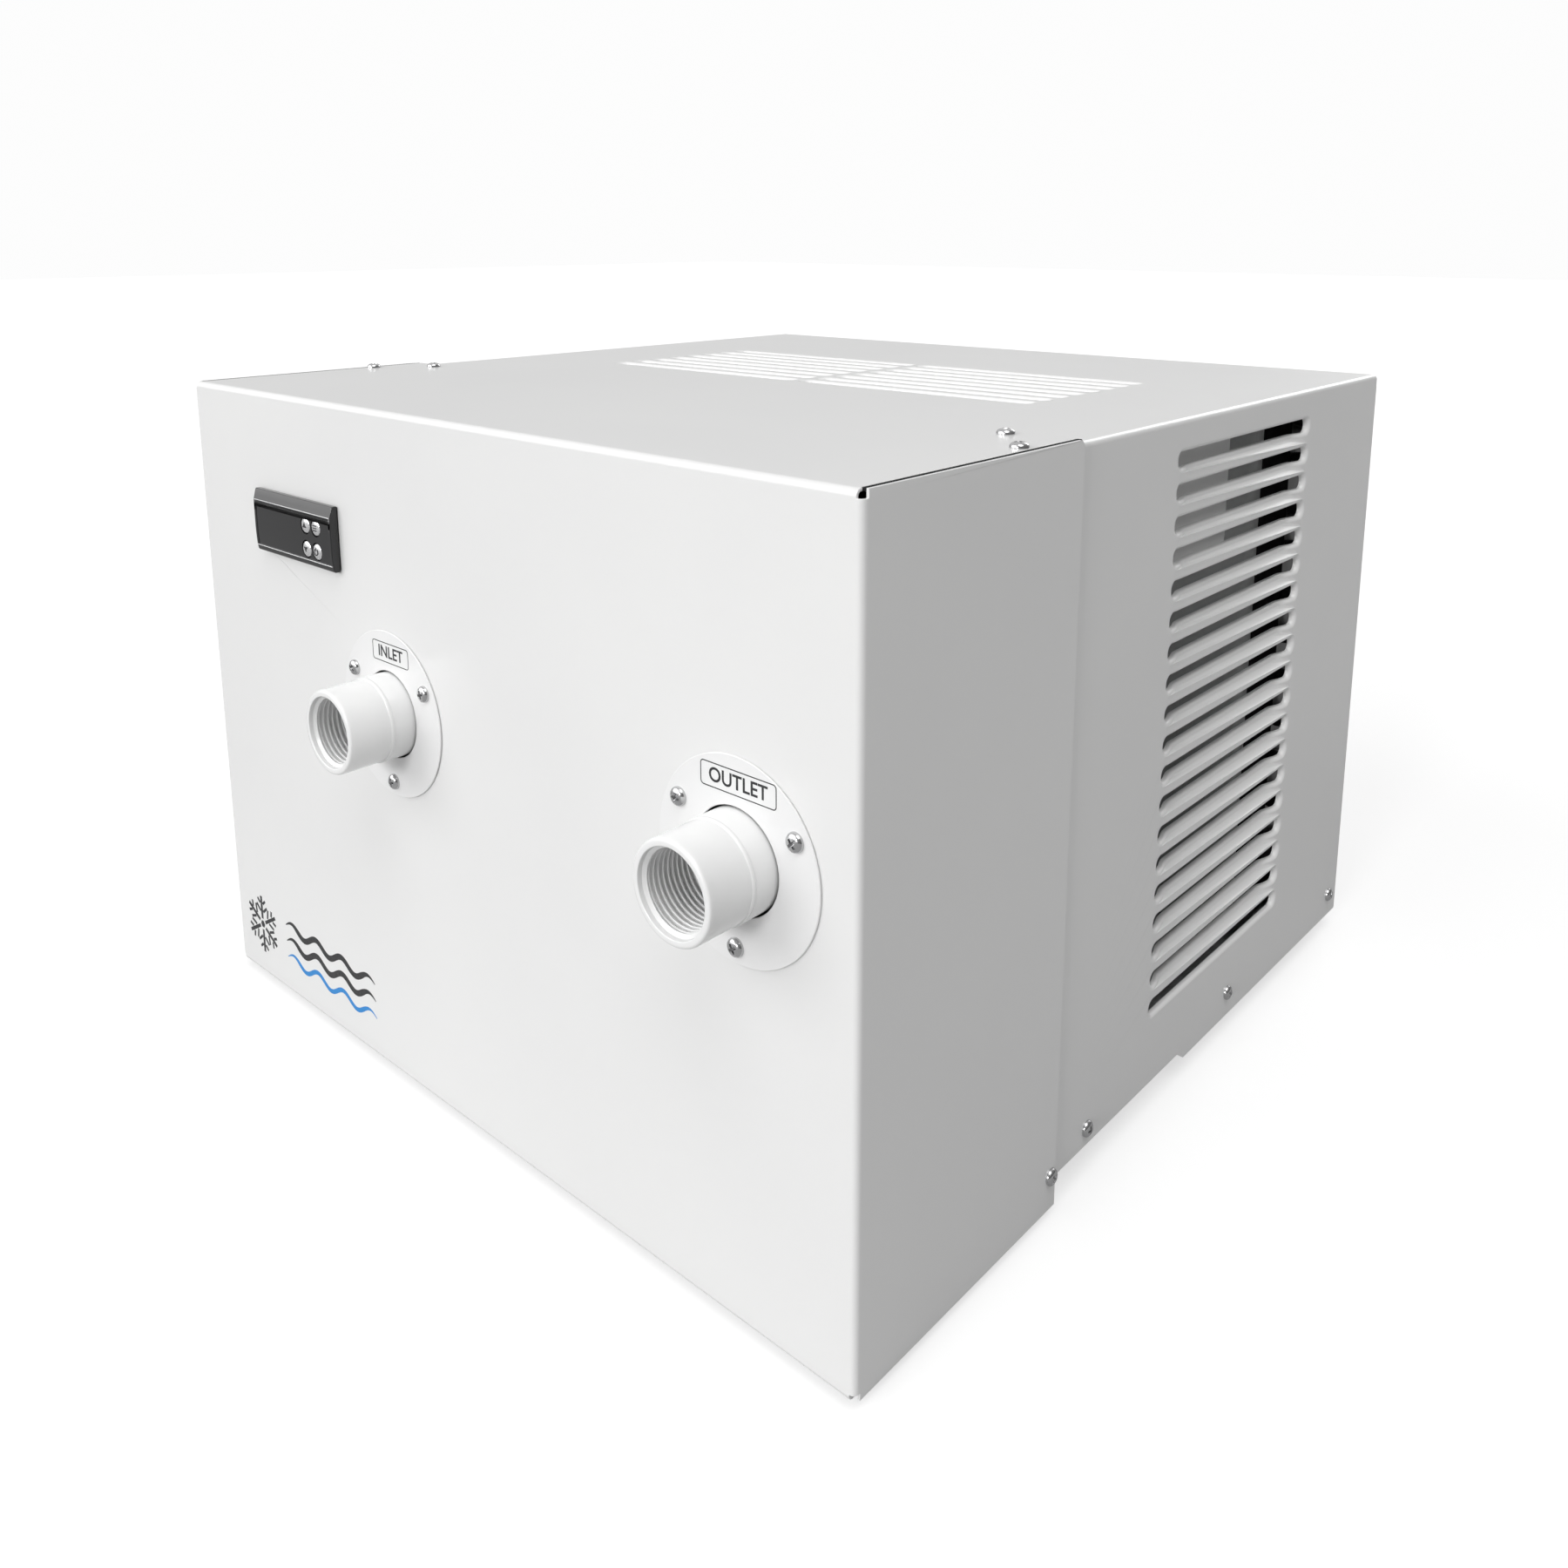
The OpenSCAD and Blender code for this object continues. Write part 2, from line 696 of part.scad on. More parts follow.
module exchanger_stands() color(zinc) in_unit() for (x = stand_xs) difference() {
    union() {
        block([x - stand_t / 2, shell_y - stand_half, pan_floor],
            [x + stand_t / 2, shell_y + stand_half, port_z]);
        block([x - 12, shell_y - stand_half, pan_floor],
            [x + 12, shell_y + stand_half, pan_floor + stand_t]);
        strap_ears(x, port_z - stand_t, port_z);
    }
    rod_x(shell_y, port_z, shell_r + 0.05, x - 15, x + 15);
    rod_x(shell_y, 90, stand_half / 2, x - 15, x + 15);
}

module exchanger_straps() color(zinc) in_unit() for (x = stand_xs) difference() {
    union() {
        rod_x(shell_y, port_z, shell_r + 0.05 + strap_t, x - strap_w / 2, x + strap_w / 2);
        strap_ears(x, port_z, port_z + strap_t);
        for (end = [-1, 1])
            translate([x, shell_y + end * strap_bolt_y, port_z + strap_t]) cylinder(r = 4, h = 3, $fn = 6);
    }
    rod_x(shell_y, port_z, shell_r + 0.05, x - 15, x + 15);
    block([x - 15, 0, port_z - 2 * shell_r], [x + 15, wall_y, port_z]);
}

module sensor_well() color(brass) in_unit() difference() {
    union() {
        rod_z(well_x, shell_y, well_r, well_z0, port_z + shell_r + 4);
        translate([well_x, shell_y, port_z + shell_r + 1]) cylinder(r = 9, h = 7, $fn = 6);
    }
    rod_z(well_x, shell_y, lead_r + 0.4, well_z0 + 2, port_z + shell_r + 9);
}

module sensor_lead() color(rubber_black) in_unit() sweep(rounded([
    [well_x, shell_y, well_z0 + 3], [well_x, shell_y, 290], [well_x - 60, shell_y, 306],
    [ctl_x + 8, shell_y + 22, 300], [ctl_x + 8, shell_y + 10, ctl_z], [ctl_x + 8, ctl_case_d + 0.1, ctl_z]],
    10, 5), lead_r, 8);

module control_harness() color(rubber_black) in_unit() sweep(rounded([
    [ctl_x - 14, ctl_case_d + 0.1, ctl_z], [ctl_x - 14, ctl_case_d + 30, ctl_z],
    [ctl_x - 14, ctl_case_d + 40, wire_pass.y], [wire_pass.x, wall_y - 26, wire_pass.y],
    [wire_pass.x, wall_y + 24, wire_pass.y], [-20, wall_y + 34, wire_pass.y],
    [box_x0 - 20, wall_y + 34, 280], [box_x0 - 0.1, wall_y + 34, 280]],
    12, 5), 3.9, 10);

// ---- Controller ----

// Side view of the bezel: flat back, slightly bulging front
module bezel_profile() {
    intersection() {
        translate([bezel_arc_r - bezel_edge - bezel_bulge, 0]) circle(r = bezel_arc_r, $fn = 360);
        translate([-bezel_edge - bezel_bulge, -ctl_h / 2])
            square([bezel_edge + bezel_bulge - gasket_t, ctl_h]);
    }
}

module in_controller() {
    in_unit() translate([ctl_x, 0, ctl_z]) children();
}

module controller_bezel() color(gloss_black) in_controller() difference() {
    along_x(ctl_w) bezel_profile();
    block([-window_w / 2, -10, window_bottom], [window_w / 2, 1, window_top]);
}

module controller_gasket() color(rubber_black) in_controller() difference() {
    along_y(-gasket_t, 0) round_rect(ctl_w - 0.6, ctl_h - 0.6, 1);
    cube([cutout_w, 4, cutout_h], center = true);
}

module display_window() color(gloss_black) in_controller() difference() {
    block([-window_w / 2 + 0.1, -window_face, window_bottom + 0.1],
        [window_w / 2 - 0.1, window_t - window_face, window_top - 0.1]);
    for (x = button_xs, z = button_zs)
        rod_y(x, z, button_r + button_gap, -window_face - 1, 0);
}

module push_button(x, z) color(zinc) in_controller() union() {
    intersection() {
        rod_y(x, z, button_r, -button_face, -button_back);
        translate([x, 9 - button_face, z]) sphere(r = 9, $fn = 96);
    }
    rod_y(x, z, button_flange_r, -button_back - button_flange_t, -button_back);
}

module button_up() push_button(button_xs[0], button_zs[0]);
module button_down() push_button(button_xs[0], button_zs[1]);
module button_set() push_button(button_xs[1], button_zs[0]);
module button_power() push_button(button_xs[1], button_zs[1]);

module display_board() color([0.05, 0.25, 0.12]) in_controller() union() {
    block([-33, 4, -12.5], [33, 5.6, 12.5]);
    block([-28, -1.6, -10], [4, 4 + eps, 7]);
    for (x = button_xs, z = button_zs)
        rod_y(x, z, 1.6, 0.6, 4 + eps);
}

module controller_case() color(enamel_black) in_controller() difference() {
    block([-35.2, -gasket_t, -14.2], [35.2, ctl_case_d, 14.2]);
    block([-33.6, -gasket_t - 1, -12.8], [33.6, ctl_case_d - 1.6, 12.8]);
}

module controller_clips() color(enamel_black) in_controller() for (side = [-1, 1])
    translate([side * 38.3, sheet_t + 9, 0]) cube([6, 18, 16], center = true);

// ---- Compressor ----

// Upright can with domed ends between z0 and z1, drawn smaller all round by inset
module can(x, y, r, z0, z1, dome_r, inset = 0) {
    rise = dome_r - sqrt(dome_r * dome_r - r * r);
    rod_z(x, y, r - inset, z0 + rise, z1 - rise);
    for (dome = [[z0 + dome_r, z0, z0 + rise + eps], [z1 - dome_r, z1 - rise - eps, z1]])
        intersection() {
            rod_z(x, y, r - inset, dome[1], dome[2]);
            translate([x, y, dome[0]]) sphere(r = dome_r - inset, $fn = 96);
        }
}

module compressor_shell() color(enamel_black) in_unit() difference() {
    union() {
        can(comp_x, comp_y, comp_r, comp_z0, comp_z1, comp_dome_r);
        comp_base();
    }
    can(comp_x, comp_y, comp_r, comp_z0, comp_z1, comp_dome_r, comp_wall);
}

module comp_base() {
    difference() {
        translate([comp_x, comp_y, comp_base_z]) linear_extrude(comp_base_t) union() {
            circle(r = comp_r - 8);
            for (a = stud_angles) rotate(a) {
                translate([0, -ear_r]) square([stud_circle, 2 * ear_r]);
                translate([stud_circle, 0]) circle(r = ear_r);
            }
        }
        stud_places() rod_z(0, 0, grommet_r, comp_base_z - 1, comp_base_z + 9);
    }
    rod_z(comp_x, comp_y, comp_foot_r, comp_base_z, comp_z0 + 12);
}

module compressor_pump() color(steel) in_unit() difference() {
    rod_z(comp_x, comp_y, comp_r - comp_wall - 0.05, pump_z0, pump_z1);
    rod_z(comp_x, comp_y, chamber_r, chamber_z0, chamber_z1);
    rod_z(comp_x, comp_y, crank_r + bearing_gap, pump_z0 - 1, pump_z1 + 1);
}

module compressor_stator() color(copper) in_unit() difference() {
    rod_z(comp_x, comp_y, comp_r - comp_wall - 0.05, stator_z0, stator_z1);
    rod_z(comp_x, comp_y, stator_bore_r, stator_z0 - 1, stator_z1 + 1);
}

module compressor_rotor() color(steel) in_unit() union() {
    rod_z(comp_x, comp_y, crank_r, pump_z0 + 2, stator_z1 + 4);
    rod_z(comp_x, comp_y, stator_bore_r - 0.5, stator_z0, stator_z1);
    rod_z(comp_x + crank_offset, comp_y, roller_r, chamber_z0 + 0.4, chamber_z1 - 0.4);
}

module terminal_cover() color(rubber_black) in_unit() difference() {
    block([comp_x + comp_r - 14, comp_y - 22, 150], [comp_x + comp_r + 14, comp_y + 14, 196]);
    rod_z(comp_x, comp_y, comp_r + 0.05, comp_z0, comp_z1);
}

module accumulator() color(enamel_black) in_unit() difference() {
    union() {
        can(accu_x, accu_y, accu_r, accu_z0, accu_z1, accu_dome_r);
        sweep(rounded([[accu_x, accu_y, accu_z0 + 1], [accu_x, accu_y, accu_elbow_z],
            [accu_x, accu_y, accu_elbow_z] + accu_reach], 10, 6), suction_r, 12);
    }
    can(accu_x, accu_y, accu_r, accu_z0, accu_z1, accu_dome_r, 2);
    rod_z(accu_x, accu_y, suction_r + 0.05, accu_z1 - 8, accu_z1 + 2);
}

module stud_places() {
    for (a = stud_angles)
        translate([comp_x + stud_circle * cos(a), comp_y + stud_circle * sin(a), 0]) children();
}

module compressor_grommets() color(rubber_black) in_unit() stud_places() difference() {
    union() {
        rod_z(0, 0, 12, pan_floor, comp_base_z);
        rod_z(0, 0, grommet_r - 0.1, comp_base_z - 1, comp_base_z + comp_base_t + 1);
        rod_z(0, 0, 11, comp_base_z + comp_base_t, comp_base_z + comp_base_t + 7);
    }
    rod_z(0, 0, grommet_bore_r, pan_floor - 1, comp_base_z + 20);
}

module compressor_studs() color(zinc) in_unit() stud_places() {
    top = comp_base_z + comp_base_t + 7;
    rod_z(0, 0, stud_r, pan_z - 2, top + 9);
    rod_z(0, 0, 9, top, top + 1.5);
    translate([0, 0, top + 1.5]) cylinder(r = 5.6, h = 5, $fn = 6);
    translate([0, 0, pan_z - 2]) cylinder(r = 5.6, h = 2, $fn = 6);
}

// ---- Refrigerant lines ----

module discharge_line() color(copper) in_unit() sweep(rounded([
    [comp_x, comp_y, comp_z1 + 0.1], [comp_x, comp_y, 300], [-172, 300, hot_line_z],
    [hot_line_x, 350, hot_line_z], [hot_line_x, hot_in.y, hot_line_z],
    [hot_line_x, hot_in.y, hot_in.z], hot_in], 6, 5), line_r, 10);

module suction_line() color(copper) in_unit() sweep(rounded([
    [shell_x0 - 30.1, gland_y[0], port_z], [suction_pass.x, gland_y[0], port_z],
    [suction_pass.x, wall_y - 14, suction_pass.y], [suction_pass.x, wall_y + 16, suction_pass.y],
    [suction_pass.x, accu_y, suction_pass.y + 20], [accu_x, accu_y, suction_pass.y + 20],
    [accu_x, accu_y, accu_z1 - 4]],
    10, 5), suction_r, 10);

module filter_drier() color(copper) in_unit() union() {
    can(drier_x, drier_y, drier_r, drier_z0, drier_z1, 14);
    sweep(rounded([[drier_x, drier_y, drier_z1 - 2], [drier_x, drier_y, liquid_out.z],
        [drier_x, liquid_out.y, liquid_out.z], liquid_out], 8, 5), liquid_r, 10);
}

// Capillary: down from the drier, forward, round its loops, then through the partition
capillary_path = concat(
    [[drier_x, drier_y, drier_z0 - 0.1], [drier_x, drier_y, loop_z + 8],
        [drier_x, drier_y - 10, loop_z + 2], [drier_x, drier_y - 52, loop_z],
        [loop_x - loop_r, loop_y + 12, loop_z]],
    [for (i = [0:loop_turns * 12]) let (a = 180 + 30 * i)
        [loop_x + loop_r * cos(a), loop_y + loop_r * sin(a), loop_z + i * 0.5]],
    [[loop_x - 11, loop_y - 25, loop_z + 20], [-200, 180, 174],
        [capillary_pass.x, 164, capillary_pass.y],
        [capillary_pass.x, wall_y + 12, capillary_pass.y],
        [capillary_pass.x, wall_y - 16, capillary_pass.y], [-170, shell_y + 14, 184],
        [shell_x0 - 46, shell_y, port_z], [shell_x0 - 30.1, shell_y, port_z]]);

module capillary_tube() color(copper) in_unit() sweep(capillary_path, capillary_r, 8);

// ---- Condenser ----

// Height of tube row i, staggered between the two columns
function tube_z(i, column) = core_z0 + row_pitch / 2 + i * row_pitch + (column == 0 ? 3 : -3);

module tube_bores(r, x0, x1) {
    for (i = [0:tube_rows - 1], c = [0, 1])
        rod_x(row_ys[c], tube_z(i, c), r, x0, x1);
}

module condenser_fins() color(aluminium) in_unit() difference() {
    block([-core_half, core_y0, core_z0], [core_half, core_y1, core_z1]);
    tube_bores(tube_r + 0.05, -core_half - 1, core_half + 1);
}

module condenser_end_plates() color(zinc) in_unit() difference() {
    union() for (side = [-1, 1]) {
        x = side * (core_half + end_plate_t / 2);
        translate([x, (core_y0 + core_y1) / 2, (core_z0 + core_z1) / 2])
            cube([end_plate_t, core_y1 - core_y0, core_z1 - core_z0 + 4], center = true);
    }
    tube_bores(tube_r + 0.05, -cover_half, cover_half);
}

// A half-turn bend beyond one end of the core, brazed over two tubes at p and q in (Y, Z)
module return_bend(side, p, q) {
    translate([side * bend_start, (p.x + q.x) / 2, (p.y + q.y) / 2])
        rotate([atan2(q.y - p.y, q.x - p.x), 0, 0]) rotate(side > 0 ? [180, 0, 90] : [0, 0, 90])
            rotate_extrude(angle = 180) translate([norm(q - p) / 2, 0]) circle(r = bend_tube_r);
}

// One run of tube: down the rear column, across, and up the front one
module condenser_tubes() color(copper) in_unit() {
    tube_bores(tube_r, -bend_start, bend_start);
    for (c = [0, 1], i = [0:tube_rows - 2])
        return_bend(i % 2 == 0 ? 1 : -1, [row_ys[c], tube_z(i, c)], [row_ys[c], tube_z(i + 1, c)]);
    return_bend(-1, [row_ys[0], tube_z(0, 0)], [row_ys[1], tube_z(0, 1)]);
}

// ---- Fan ----

module fan_shroud() color(paint_white) in_unit() difference() {
    union() {
        block([-shroud_half, shroud_y, shroud_z0], [shroud_half, core_y0 - 1, shroud_z1]);
        rod_y(0, fan_z, throat_r + shroud_t, shroud_y - 12, shroud_y + 1);
    }
    block([-shroud_half + shroud_t, shroud_y + shroud_t, shroud_z0 + shroud_t],
        [shroud_half - shroud_t, core_y0 + 1, shroud_z1 - shroud_t]);
    rod_y(0, fan_z, throat_r, shroud_y - 20, shroud_y + 10);
}

module fan_motor() color(enamel_black) in_unit() difference() {
    union() {
        rod_y(0, fan_z, motor_r, motor_y0, motor_y1);
        rod_y(0, fan_z, bearing_r + 4, motor_y0 - 8, motor_y1 + 8);
    }
    rod_y(0, fan_z, motor_r - 3, motor_y0 + 3, motor_y1 - 3);
    rod_y(0, fan_z, bearing_r, motor_y0 - 4, motor_y1 + 9);
}

module motor_bearings() color(brass) in_unit()
    for (y = [motor_y0 - 3.9, motor_y1 + 7.9 - bearing_l]) difference() {
        rod_y(0, fan_z, bearing_r - 0.05, y, y + bearing_l);
        rod_y(0, fan_z, shaft_r + bearing_gap, y - 1, y + bearing_l + 1);
    }

module motor_bracket() color(zinc) in_unit() difference() {
    union() {
        block([-bracket_half, motor_y0 + 6, pan_floor], [bracket_half, motor_y1 - 6, pan_floor + 2]);
        for (y = [motor_y0 + 12, motor_y1 - 14]) {
            block([-bracket_half, y, pan_floor], [bracket_half, y + 2, fan_z]);
            rod_y(0, fan_z, motor_r + 3, y, y + 2);
        }
    }
    rod_y(0, fan_z, motor_r + 0.05, motor_y0, motor_y1);
    rod_y(0, 76, 30, motor_y0, motor_y1);
}

module fan_shaft() color(steel) in_unit() union() {
    rod_y(0, fan_z, shaft_r, motor_y0 - 2, fan_y + 26);
    rod_y(0, fan_z, motor_r - 12, motor_y0 + 18, motor_y1 - 18);
}

// One blade: a pitched plate with a round outer end, from the hub to the tip
module fan_wing() {
    intersection() {
        rotate([blade_pitch, 0, 0]) translate([0, 0, -blade_t / 2]) linear_extrude(blade_t)
            polygon([[10, -18], [fan_r * 0.55, -42], [fan_r + 20, -52], [fan_r + 20, 34],
                [fan_r * 0.5, 26], [10, 14]]);
        cylinder(r = fan_r, h = 80, center = true);
    }
}

module fan_blade() color(rubber_black) in_unit()
    translate([0, fan_y, fan_z]) rotate([90, 0, 0]) difference() {
        union() {
            cylinder(r = fan_hub_r, h = fan_hub_l, center = true);
            for (i = [0:fan_blades - 1])
                rotate(360 * i / fan_blades) fan_wing();
        }
        cylinder(r = shaft_r + 0.05, h = 100, center = true);
    }

module fan_hub_nut() color(zinc) in_unit() difference() {
    translate([0, fan_y + fan_hub_l / 2, fan_z]) rotate([-90, 0, 0]) cylinder(r = 10, h = 7, $fn = 6);
    rod_y(0, fan_z, shaft_r + 0.05, fan_y, fan_y + 40);
}

// ---- Electrics ----

// A box on the partition whose upper bay reaches back beside the louvres
module electrical_box() color(paint_white) in_unit() difference() {
    wall = [box_t, box_t, box_t];
    low = [box_x0, box_y0, box_z0];
    high = [box_x1, box_y1, box_z1];
    bay_low = [bay_x0, box_y0, bay_z0];
    bay_high = [box_x1, bay_y1, box_z1];
    union() {
        block(low, high);
        block(bay_low, bay_high);
    }
    block(low + wall, high - wall);
    block(bay_low + wall, bay_high - wall);
}

module run_capacitor() color(aluminium) in_unit() union() {
    x0 = box_x1 - 30;
    y0 = (box_y0 + box_y1) / 2;
    rod_z(x0, y0, cap_can_r, box_z0 + box_t, box_z0 + 90);
    for (dx = [-8, 8])
        translate([x0 + dx, y0, box_z0 + 94]) cube([1, 6, 9], center = true);
}

front_cover();
rear_cabinet();
base_pan();
partition();
partition_grommets();
cover_gasket();
rubber_feet();
foot_screws();
panel_screws();
inlet_plate();
outlet_plate();
port_plate_screws();
inlet_fitting();
outlet_fitting();
inlet_pipe();
outlet_pipe();
exchanger_shell();
exchanger_caps();
titanium_coil();
coil_glands();
exchanger_stands();
exchanger_straps();
sensor_well();
sensor_lead();
controller_bezel();
controller_gasket();
controller_case();
display_board();
display_window();
controller_clips();
button_up();
button_down();
button_set();
button_power();
control_harness();
compressor_shell();
compressor_stator();
compressor_rotor();
compressor_pump();
terminal_cover();
accumulator();
compressor_grommets();
compressor_studs();
discharge_line();
suction_line();
filter_drier();
capillary_tube();
condenser_fins();
condenser_tubes();
condenser_end_plates();
fan_shroud();
fan_motor();
motor_bearings();
motor_bracket();
fan_shaft();
fan_blade();
fan_hub_nut();
electrical_box();
run_capacitor();
power_grommet();
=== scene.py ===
"""Water chiller heat pump: the looks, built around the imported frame."""
import json
import math

import bmesh
import bpy
from mathutils import Matrix, Vector
from mathutils.geometry import tessellate_polygon


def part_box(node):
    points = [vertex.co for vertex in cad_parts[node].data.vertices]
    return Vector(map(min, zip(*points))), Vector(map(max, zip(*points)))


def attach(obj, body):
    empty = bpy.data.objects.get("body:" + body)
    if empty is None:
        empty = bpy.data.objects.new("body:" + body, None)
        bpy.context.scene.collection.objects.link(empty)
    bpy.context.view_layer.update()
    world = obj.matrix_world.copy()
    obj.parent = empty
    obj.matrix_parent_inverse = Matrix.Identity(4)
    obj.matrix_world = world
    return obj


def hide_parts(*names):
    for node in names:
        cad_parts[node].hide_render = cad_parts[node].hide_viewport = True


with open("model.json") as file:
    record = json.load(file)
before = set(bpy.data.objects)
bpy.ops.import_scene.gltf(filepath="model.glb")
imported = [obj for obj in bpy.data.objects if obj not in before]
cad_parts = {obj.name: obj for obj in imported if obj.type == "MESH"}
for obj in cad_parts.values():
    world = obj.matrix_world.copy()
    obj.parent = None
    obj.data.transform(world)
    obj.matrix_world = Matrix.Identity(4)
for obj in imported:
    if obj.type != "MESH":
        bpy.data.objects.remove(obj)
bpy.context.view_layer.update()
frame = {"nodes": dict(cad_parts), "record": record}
MM = 0.001

# ---- Places, from the frame ----

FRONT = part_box("front_cover")[0].y
MOUNTS = {m["name"]: m for m in frame["record"]["mounts"]}
PORTS = {"inlet": Vector(MOUNTS["inlet_port"]["pos_m"]), "outlet": Vector(MOUNTS["outlet_port"]["pos_m"])}


def unit(x, y, z):
    """A point given in millimetres from the middle of the front face, at floor level."""
    return Vector((x * MM, y * MM + FRONT, z * MM))


# ---- Camera ----

CAMERA_AT = unit(485.6, -319.3, 419.6)
CAMERA_AZIMUTH = math.radians(-41.5746)
CAMERA_TILT = math.radians(11.0917)
CAMERA_LENS = 30.838
SENSOR_WIDTH = 36
CAMERA_SHIFT = (-0.01009, -0.18623)


def make_camera():
    data = bpy.data.cameras.new("camera")
    data.lens = CAMERA_LENS
    data.sensor_width = SENSOR_WIDTH
    data.shift_x, data.shift_y = CAMERA_SHIFT
    data.clip_start = 0.01
    camera = bpy.data.objects.new("camera", data)
    camera.location = CAMERA_AT
    forward = Vector((math.sin(CAMERA_AZIMUTH) * math.cos(CAMERA_TILT),
                      math.cos(CAMERA_AZIMUTH) * math.cos(CAMERA_TILT), -math.sin(CAMERA_TILT)))
    camera.rotation_mode = "QUATERNION"
    camera.rotation_quaternion = forward.to_track_quat("-Z", "Y")
    bpy.context.scene.collection.objects.link(camera)
    bpy.context.scene.camera = camera


# ---- Materials ----

TEXTURE_RANGE = (0.3, 0.7)
FLOOR_GLOW = 0.63


class Material:
    """A Principled material whose detail comes from procedural nodes in object coordinates."""

    def __init__(self, name, color, roughness, metallic=0.0, tint=None, polish=None, bump=None, **sockets):
        self.data = bpy.data.materials.new(name)
        self.data.use_nodes = True
        self.nodes = self.data.node_tree.nodes
        self.links = self.data.node_tree.links
        self.shader = self.nodes["Principled BSDF"]
        self.place = self.nodes.new("ShaderNodeTexCoord").outputs["Object"]
        sockets.update(Base_Color=(*color, 1), Roughness=roughness, Metallic=metallic)
        for socket, value in sockets.items():
            self.shader.inputs[socket.replace("_", " ")].default_value = value
        if tint:
            self.vary_color(color, *tint)
        if polish:
            texture, low, high = polish
            self.links.new(self.spread(texture, low, high), self.shader.inputs["Roughness"])
        if bump:
            self.add_bump(*bump)

    def texture(self, scale, detail=None, stretch=None):
        """Noise, stretched if asked, or cells where no detail is given."""
        if detail is None:
            node = self.nodes.new("ShaderNodeTexVoronoi")
        else:
            node = self.nodes.new("ShaderNodeTexNoise")
            node.inputs["Detail"].default_value = detail
        node.inputs["Scale"].default_value = scale
        place = self.place
        if stretch:
            mapping = self.nodes.new("ShaderNodeMapping")
            mapping.inputs["Scale"].default_value = stretch
            self.links.new(place, mapping.inputs["Vector"])
            place = mapping.outputs["Vector"]
        self.links.new(place, node.inputs["Vector"])
        return node.outputs["Color" if detail is None else "Fac"]

    def spread(self, texture, low, high):
        """Maps a texture's usual range of values onto low to high."""
        node = self.nodes.new("ShaderNodeMapRange")
        node.inputs["From Min"].default_value, node.inputs["From Max"].default_value = TEXTURE_RANGE
        node.inputs["To Min"].default_value = low
        node.inputs["To Max"].default_value = high
        self.links.new(self.texture(*texture), node.inputs["Value"])
        return node.outputs["Result"]

    def vary_color(self, color, texture, other):
        node = self.nodes.new("ShaderNodeMix")
        node.data_type = "RGBA"
        node.inputs["A"].default_value = (*color, 1)
        node.inputs["B"].default_value = (*other, 1)
        self.links.new(self.spread(texture, 0, 1), node.inputs["Factor"])
        self.links.new(node.outputs["Result"], self.shader.inputs["Base Color"])

    def add_bump(self, texture, distance, strength):
        node = self.nodes.new("ShaderNodeBump")
        node.inputs["Distance"].default_value = distance
        node.inputs["Strength"].default_value = strength
        self.links.new(self.texture(*texture), node.inputs["Height"])
        self.links.new(node.outputs["Normal"], self.shader.inputs["Normal"])


